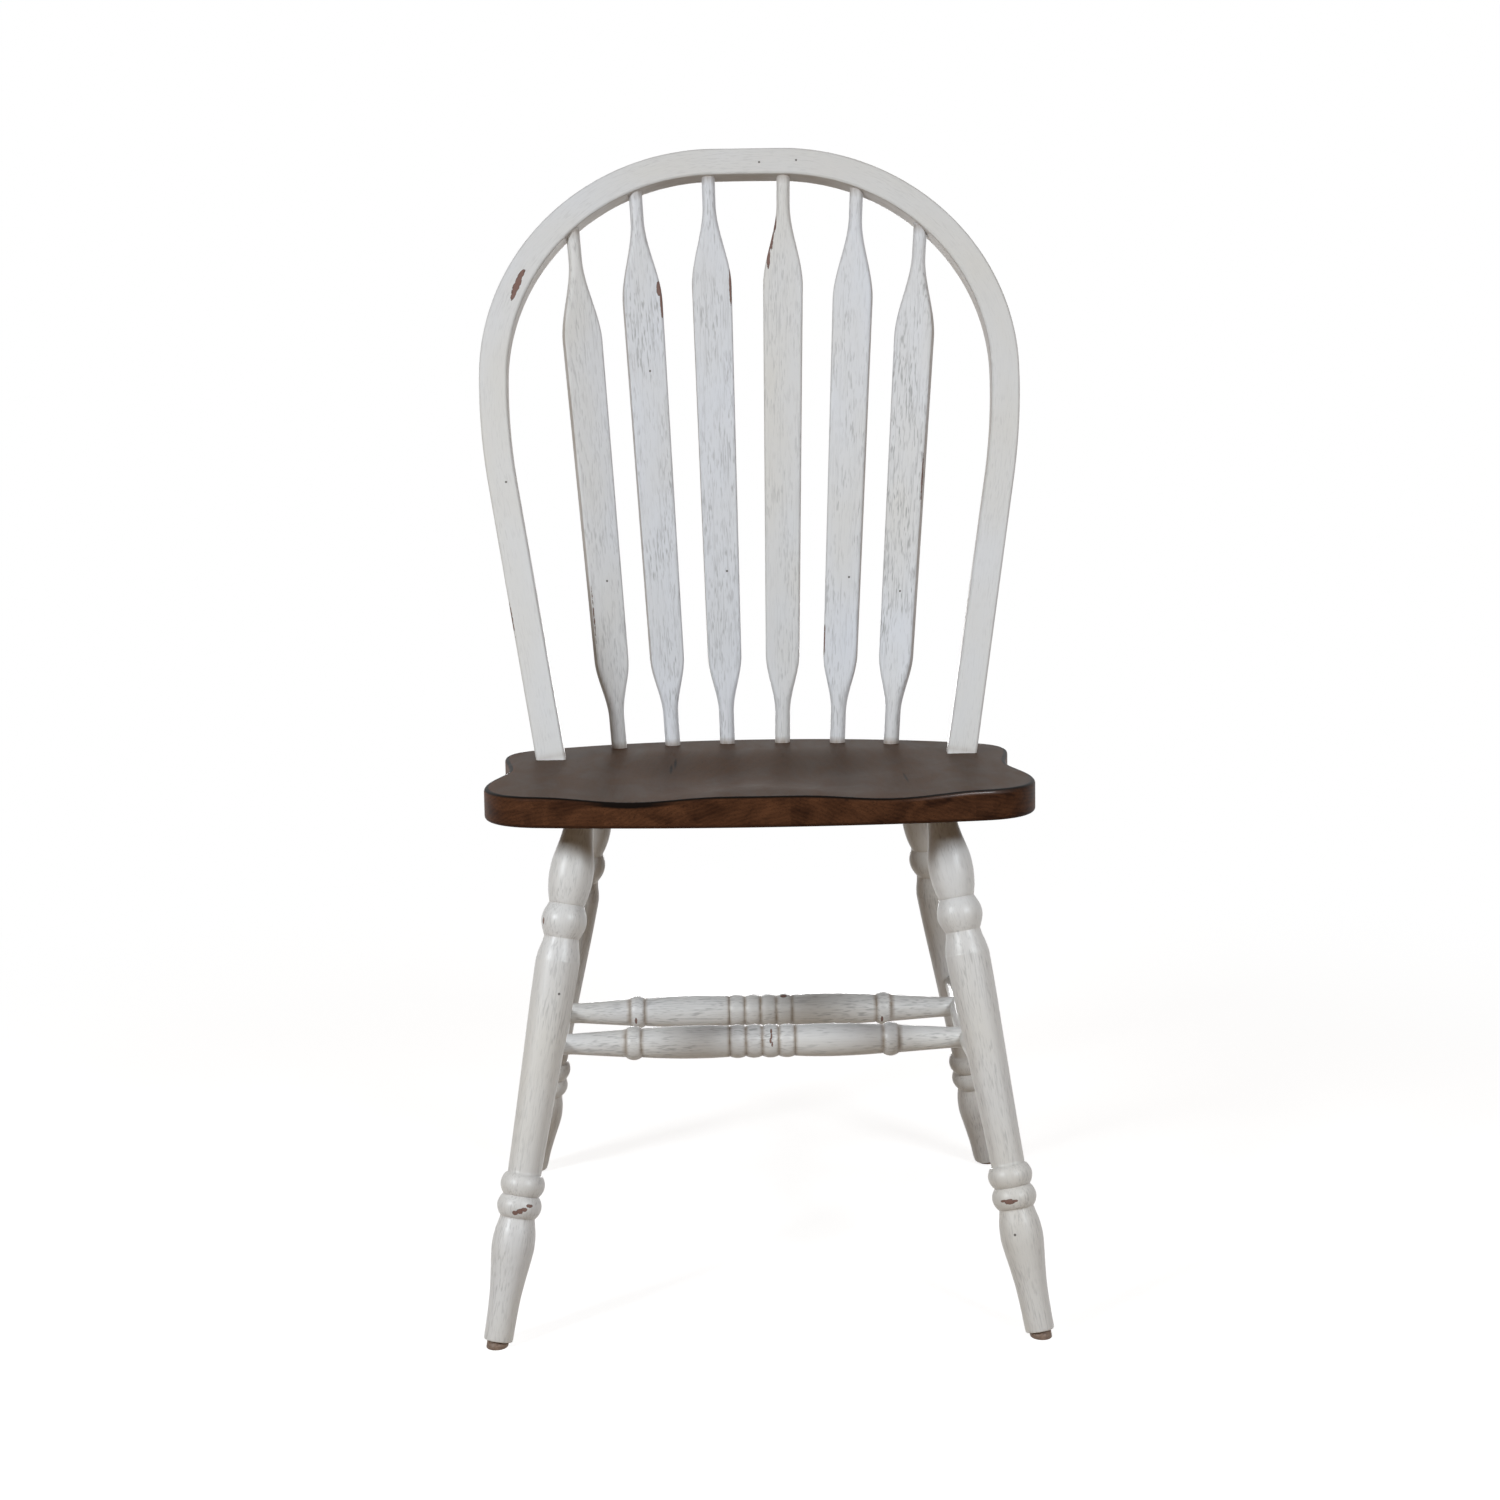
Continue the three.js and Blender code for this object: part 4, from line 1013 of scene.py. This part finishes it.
def stained_wood():
    material, tree = new_material("walnut_stained_seat")
    grain = add_node(tree, "Attribute", attribute_name="grain").outputs["Vector"]
    arris = add_node(tree, "Attribute", attribute_name="arris").outputs["Fac"]
    painted_sheen = add_node(tree, "Attribute", attribute_name="painted_sheen").outputs["Fac"]
    polish = add_node(tree, "Attribute", attribute_name="polish").outputs["Fac"]
    across, up = add_node(tree, "SeparateXYZ", {0: grain}).outputs[:2]
    lots = board_lots(tree, across)
    ring = growth_rings(tree, grain, across, up, lots)

    # Pores: dark dashes along the wood, about 0.8 mm wide and 10 mm long, coarser than real so that they show
    at = add_node(tree, "VectorMath", {0: grain, 1: per_size(1.6, 0.8, 14)}, operation="MULTIPLY")
    pore = add_node(tree, "TexNoise", {"Vector": at, "Scale": 1.0, "Detail": 3.0, "Roughness": 0.65})
    pore = add_node(tree, "MapRange", {0: pore, 1: 0.52, 2: 0.78, 3: 0.0, 4: 0.8})

    # Stain soaks in unevenly, in clouds a few centimetres across
    at = add_node(tree, "VectorMath", {0: grain, 1: per_size(30, 17, 80)}, operation="MULTIPLY")
    cloud = add_node(tree, "TexNoise", {"Vector": at, "Scale": 1.0, "Detail": 4.0, "Roughness": 0.6,
                                        "Distortion": 0.6})
    tone = add_node(tree, "Math", {0: ring, 1: 0.035, 2: cloud}, operation="MULTIPLY_ADD")
    tone = add_node(tree, "Math", {0: lots[2], 1: 0.12, 2: tone}, operation="MULTIPLY_ADD")
    tone = add_node(tree, "MapRange", {0: tone, 1: 0.34, 2: 0.8})

    # The top is painted greyer as a painted sheen, the edges are burnished, and there are a few old scratches
    sheen_share = add_node(tree, "Math", {0: painted_sheen, 1: 0.72}, operation="MULTIPLY")
    edge = add_node(tree, "Math", {0: cloud, 1: 0.6, 2: arris}, operation="MULTIPLY_ADD")
    edge = add_node(tree, "MapRange", {0: edge, 1: 0.6, 2: 1.15})
    scratched = mark_share(tree, grain, seat_scratches)
    scratched = add_node(tree, "Math", {0: scratched, 1: 0.95}, operation="MULTIPLY")
    wood = WOOD_MID
    for share, colour in ((tone, WOOD_LIGHT), (pore, WOOD_DARK), (sheen_share, SHEEN_GREY), (edge, BURNISHED),
                          (scratched, BURNISHED)):
        wood = add_node(tree, "Mix", {0: share, 6: wood, 7: colour}, data_type="RGBA")

    # Where hands have polished the corner, the oil has built up to a thin bright coat
    coat = add_node(tree, "Math", {0: polish, 1: 0.7}, operation="MULTIPLY")
    rough = add_node(tree, "MapRange", {0: cloud, 1: 0.3, 2: 0.7, 3: 0.42, 4: 0.5})
    bump = add_node(tree, "Bump", {"Height": pore, "Strength": 0.3, "Distance": 0.1 * MM}, invert=True)
    surface = add_node(tree, "BsdfPrincipled", {
        "Base Color": wood, "Roughness": rough, "Normal": bump, "IOR": 1.45, "Specular IOR Level": 0.04,
        "Coat Weight": coat, "Coat Roughness": 0.25})
    add_node(tree, "OutputMaterial", {"Surface": surface})
    return material


seat_plank.data.materials.append(stained_wood())
print("scratches and nicks in the seat:", len(seat_scratches))

# %% [markdown]
# ### Glides and nails
#
# The glides are moulded brown nylon, once glossy and now dulled and scuffed by the floor. The nail in each
# is drawn steel, with fine lines round it. The nails are hidden inside the feet, so the part's own solids
# carry the finish.

# %% Mould the glides
NYLON_DARK, NYLON_SCUFFED = tint("#6a5547"), tint("#8c7767")


def brown_nylon():
    material, tree = new_material("brown_nylon")
    place = add_node(tree, "Attribute", attribute_name="grain").outputs["Vector"]
    at = add_node(tree, "VectorMath", {0: place, 1: per_size(2.5, 2.5, 1.2)}, operation="MULTIPLY")
    scuff = add_node(tree, "TexNoise", {"Vector": at, "Scale": 1.0, "Detail": 4.0})
    share = add_node(tree, "MapRange", {0: scuff, 1: 0.35, 2: 0.7})
    colour = add_node(tree, "Mix", {0: share, 6: NYLON_DARK, 7: NYLON_SCUFFED}, data_type="RGBA")
    rough = add_node(tree, "MapRange", {0: scuff, 3: 0.4, 4: 0.65})
    bump = add_node(tree, "Bump", {"Height": scuff, "Strength": 0.3, "Distance": 0.1 * MM})
    surface = add_node(tree, "BsdfPrincipled", {"Base Color": colour, "Roughness": rough, "Normal": bump,
                                                "IOR": 1.53})
    add_node(tree, "OutputMaterial", {"Surface": surface})
    return material


nylon = brown_nylon()
for button in floor_glides:
    button.data.materials.append(nylon)
print("glides:", len(floor_glides))

# %% Draw the nails
STEEL_DARK, STEEL_LIGHT = tint("#8b8b88"), tint("#b4b4b0")


def drawn_steel():
    material, tree = new_material("drawn_steel")
    place = add_node(tree, "TexCoord").outputs["Object"]
    at = add_node(tree, "VectorMath", {0: place, 1: per_size(2, 2, 0.25)}, operation="MULTIPLY")
    lines = add_node(tree, "TexNoise", {"Vector": at, "Scale": 1.0, "Detail": 2.0})
    colour = add_node(tree, "Mix", {0: lines, 6: STEEL_DARK, 7: STEEL_LIGHT}, data_type="RGBA")
    rough = add_node(tree, "MapRange", {0: lines, 3: 0.25, 4: 0.45})
    bump = add_node(tree, "Bump", {"Height": lines, "Strength": 0.2, "Distance": 0.03 * MM})
    surface = add_node(tree, "BsdfPrincipled", {"Base Color": colour, "Roughness": rough, "Normal": bump,
                                                "Metallic": 1.0})
    add_node(tree, "OutputMaterial", {"Surface": surface})
    return material


steel = drawn_steel()
nails = [node for name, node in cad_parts.items() if name.startswith("glide_nail")]
for node in nails:
    node.data.materials.clear()
    node.data.materials.append(steel)
print("nails:", len(nails))

# %% [markdown]
# ## Studio
#
# The chair stands on a plain pale floor in front of white. The shadows in the photo tell where its two
# softboxes stood: the front left leg throws one on the front stretcher's barrel, and each front leg has a
# broad highlight on its left and a weaker one on its right. So one lamp stands far to the left and the
# other to the right, both a little above the chair. A third, low and wide, lights the back of the chair. It
# stays under the level of the seat, so that it lays no shine on the seat's top.
#
# The floor and the world are white to the camera and to reflections. In the light that they give they are
# dim and warm, so that undersides stay in a brownish shade.

# %% Which rays look at the background
def seen_share(tree):
    path = add_node(tree, "LightPath").outputs
    seen = add_node(tree, "Math", {0: path["Is Camera Ray"], 1: path["Is Glossy Ray"]}, operation="MAXIMUM")
    return add_node(tree, "Math", {0: seen, 1: path["Is Transmission Ray"]}, operation="MAXIMUM")


# %% Lay the floor
FLOOR_HALF = 4.0
FLOOR_BOUNCE, FLOOR_SEEN = tint("#a5927a"), tint("#b4b4b4")
FLOOR_LIFT = 0.84
CLEAR_FROM, CLEAR_TO = 0.5, 1.6     # metres from the middle, between which the floor turns to plain white
WHITE = (1, 1, 1, 1)


def make_floor():
    corners = [(-1, -1), (1, -1), (1, 1), (-1, 1)]
    mesh = bpy.data.meshes.new("floor")
    mesh.from_pydata([(x * FLOOR_HALF, y * FLOOR_HALF, 0) for x, y in corners], [], [(0, 1, 2, 3)])
    floor = bpy.data.objects.new("floor", mesh)
    bpy.context.scene.collection.objects.link(floor)
    material, tree = new_material("pale_floor")
    seen = seen_share(tree)
    place = add_node(tree, "NewGeometry").outputs["Position"]
    away = add_node(tree, "VectorMath", {0: place}, operation="LENGTH")
    far = add_node(tree, "MapRange", {0: away, 1: CLEAR_FROM, 2: CLEAR_TO}, interpolation_type="SMOOTHSTEP")
    far = add_node(tree, "Math", {0: far, 1: seen}, operation="MULTIPLY")
    shade = add_node(tree, "Mix", {0: seen, 6: FLOOR_BOUNCE, 7: FLOOR_SEEN}, data_type="RGBA")
    matt = add_node(tree, "BsdfDiffuse", {"Color": shade})
    lift = add_node(tree, "Math", {0: seen, 1: FLOOR_LIFT}, operation="MULTIPLY")
    glow = add_node(tree, "Emission", {"Color": WHITE, "Strength": lift})
    near = add_node(tree, "AddShader", {0: matt, 1: glow})
    white = add_node(tree, "Emission", {"Color": WHITE, "Strength": 1.0})
    both = add_node(tree, "MixShader", {0: far, 1: near, 2: white})
    add_node(tree, "OutputMaterial", {"Surface": both})
    mesh.materials.append(material)


make_floor()
print("the floor is", 2 * FLOOR_HALF, "m wide")

# %% Set up the softboxes
LAMP_AIM = Vector((0, 0, 0.35))
LAMP_DISTANCE = 2.6

# Azimuth in degrees, 0 in front of the chair and positive to the left, elevation in degrees, width and
# height in metres, power in watts and colour
softboxes = {
    "left": (49, 25, 0.45, 0.5, 33, "#f6fbff"),
    "right": (-36, 27, 0.7, 0.5, 26.2, "#f4faff"),
    "back": (180, -4, 1.2, 0.24, 28, "#fcfdff"),
}


def set_softbox(name, azimuth, elevation, width, height, power, colour):
    a, e = math.radians(azimuth), math.radians(elevation)
    away = Vector((-math.sin(a) * math.cos(e), -math.cos(a) * math.cos(e), math.sin(e)))
    lamp = bpy.data.lights.new(name, "AREA")
    lamp.shape = "RECTANGLE"
    lamp.size, lamp.size_y = width, height
    lamp.energy = power
    lamp.color = tint(colour)[:3]
    holder = bpy.data.objects.new(name, lamp)
    turned = away.to_track_quat("Z", "Y").to_matrix().to_4x4()
    holder.matrix_world = Matrix.Translation(LAMP_AIM + away * LAMP_DISTANCE) @ turned
    bpy.context.scene.collection.objects.link(holder)


for name, values in softboxes.items():
    set_softbox(name, *values)
print("softboxes:", len(softboxes))

# %% Light the world
WORLD_LEVEL, WORLD_TINT = 0.112, tint("#ffd8b0")
world = bpy.data.worlds.new("white_studio")
bpy.context.scene.world = world
world.use_nodes = True
sky = world.node_tree
sky.nodes.clear()
seen = seen_share(sky)
level = add_node(sky, "MapRange", {0: seen, 3: WORLD_LEVEL, 4: 1.0})
shade = add_node(sky, "Mix", {0: seen, 6: WORLD_TINT, 7: WHITE}, data_type="RGBA")
glow = add_node(sky, "Background", {"Color": shade, "Strength": level})
add_node(sky, "OutputWorld", {"Surface": glow})
print("the world lights the chair at", WORLD_LEVEL)

# %% [markdown]
# ## Camera
#
# The photo was taken from about two metres in front of the chair and 0.82 m above the floor, looking down
# by almost ten degrees. The angles and the focal length come from matching some sixty places on the chair's
# outline to the photo. Set by eye, they would leave the rear legs out of place.

# %% Place the camera
SENSOR = 36.0
PHOTO_WIDTH, FOCAL_LENGTH = 1500, 2391.4     # both in pixels of the photo
CAMERA_PLACE = (-0.025985, -2.13756, 0.820364)
camera_data = bpy.data.cameras.new("photo_camera")
camera_data.sensor_width = SENSOR
camera_data.lens = FOCAL_LENGTH / PHOTO_WIDTH * SENSOR
camera = bpy.data.objects.new("photo_camera", camera_data)
turn, pitch, roll = (math.radians(angle) for angle in (0.5239, 9.6932, -0.8669))
look = Vector((math.sin(turn) * math.cos(pitch), math.cos(turn) * math.cos(pitch), -math.sin(pitch)))
level_right = Vector((math.cos(turn), -math.sin(turn), 0))
level_up = level_right.cross(look)
right = level_right * math.cos(roll) + level_up * math.sin(roll)
upward = level_up * math.cos(roll) - level_right * math.sin(roll)
pose = Matrix((right, upward, -look)).transposed().to_4x4()
camera.matrix_world = Matrix.Translation(CAMERA_PLACE) @ pose
bpy.context.scene.collection.objects.link(camera)
bpy.context.scene.camera = camera
bpy.context.scene.view_settings.view_transform = "Standard"
print("the lens is", round(camera_data.lens, 1), "mm")
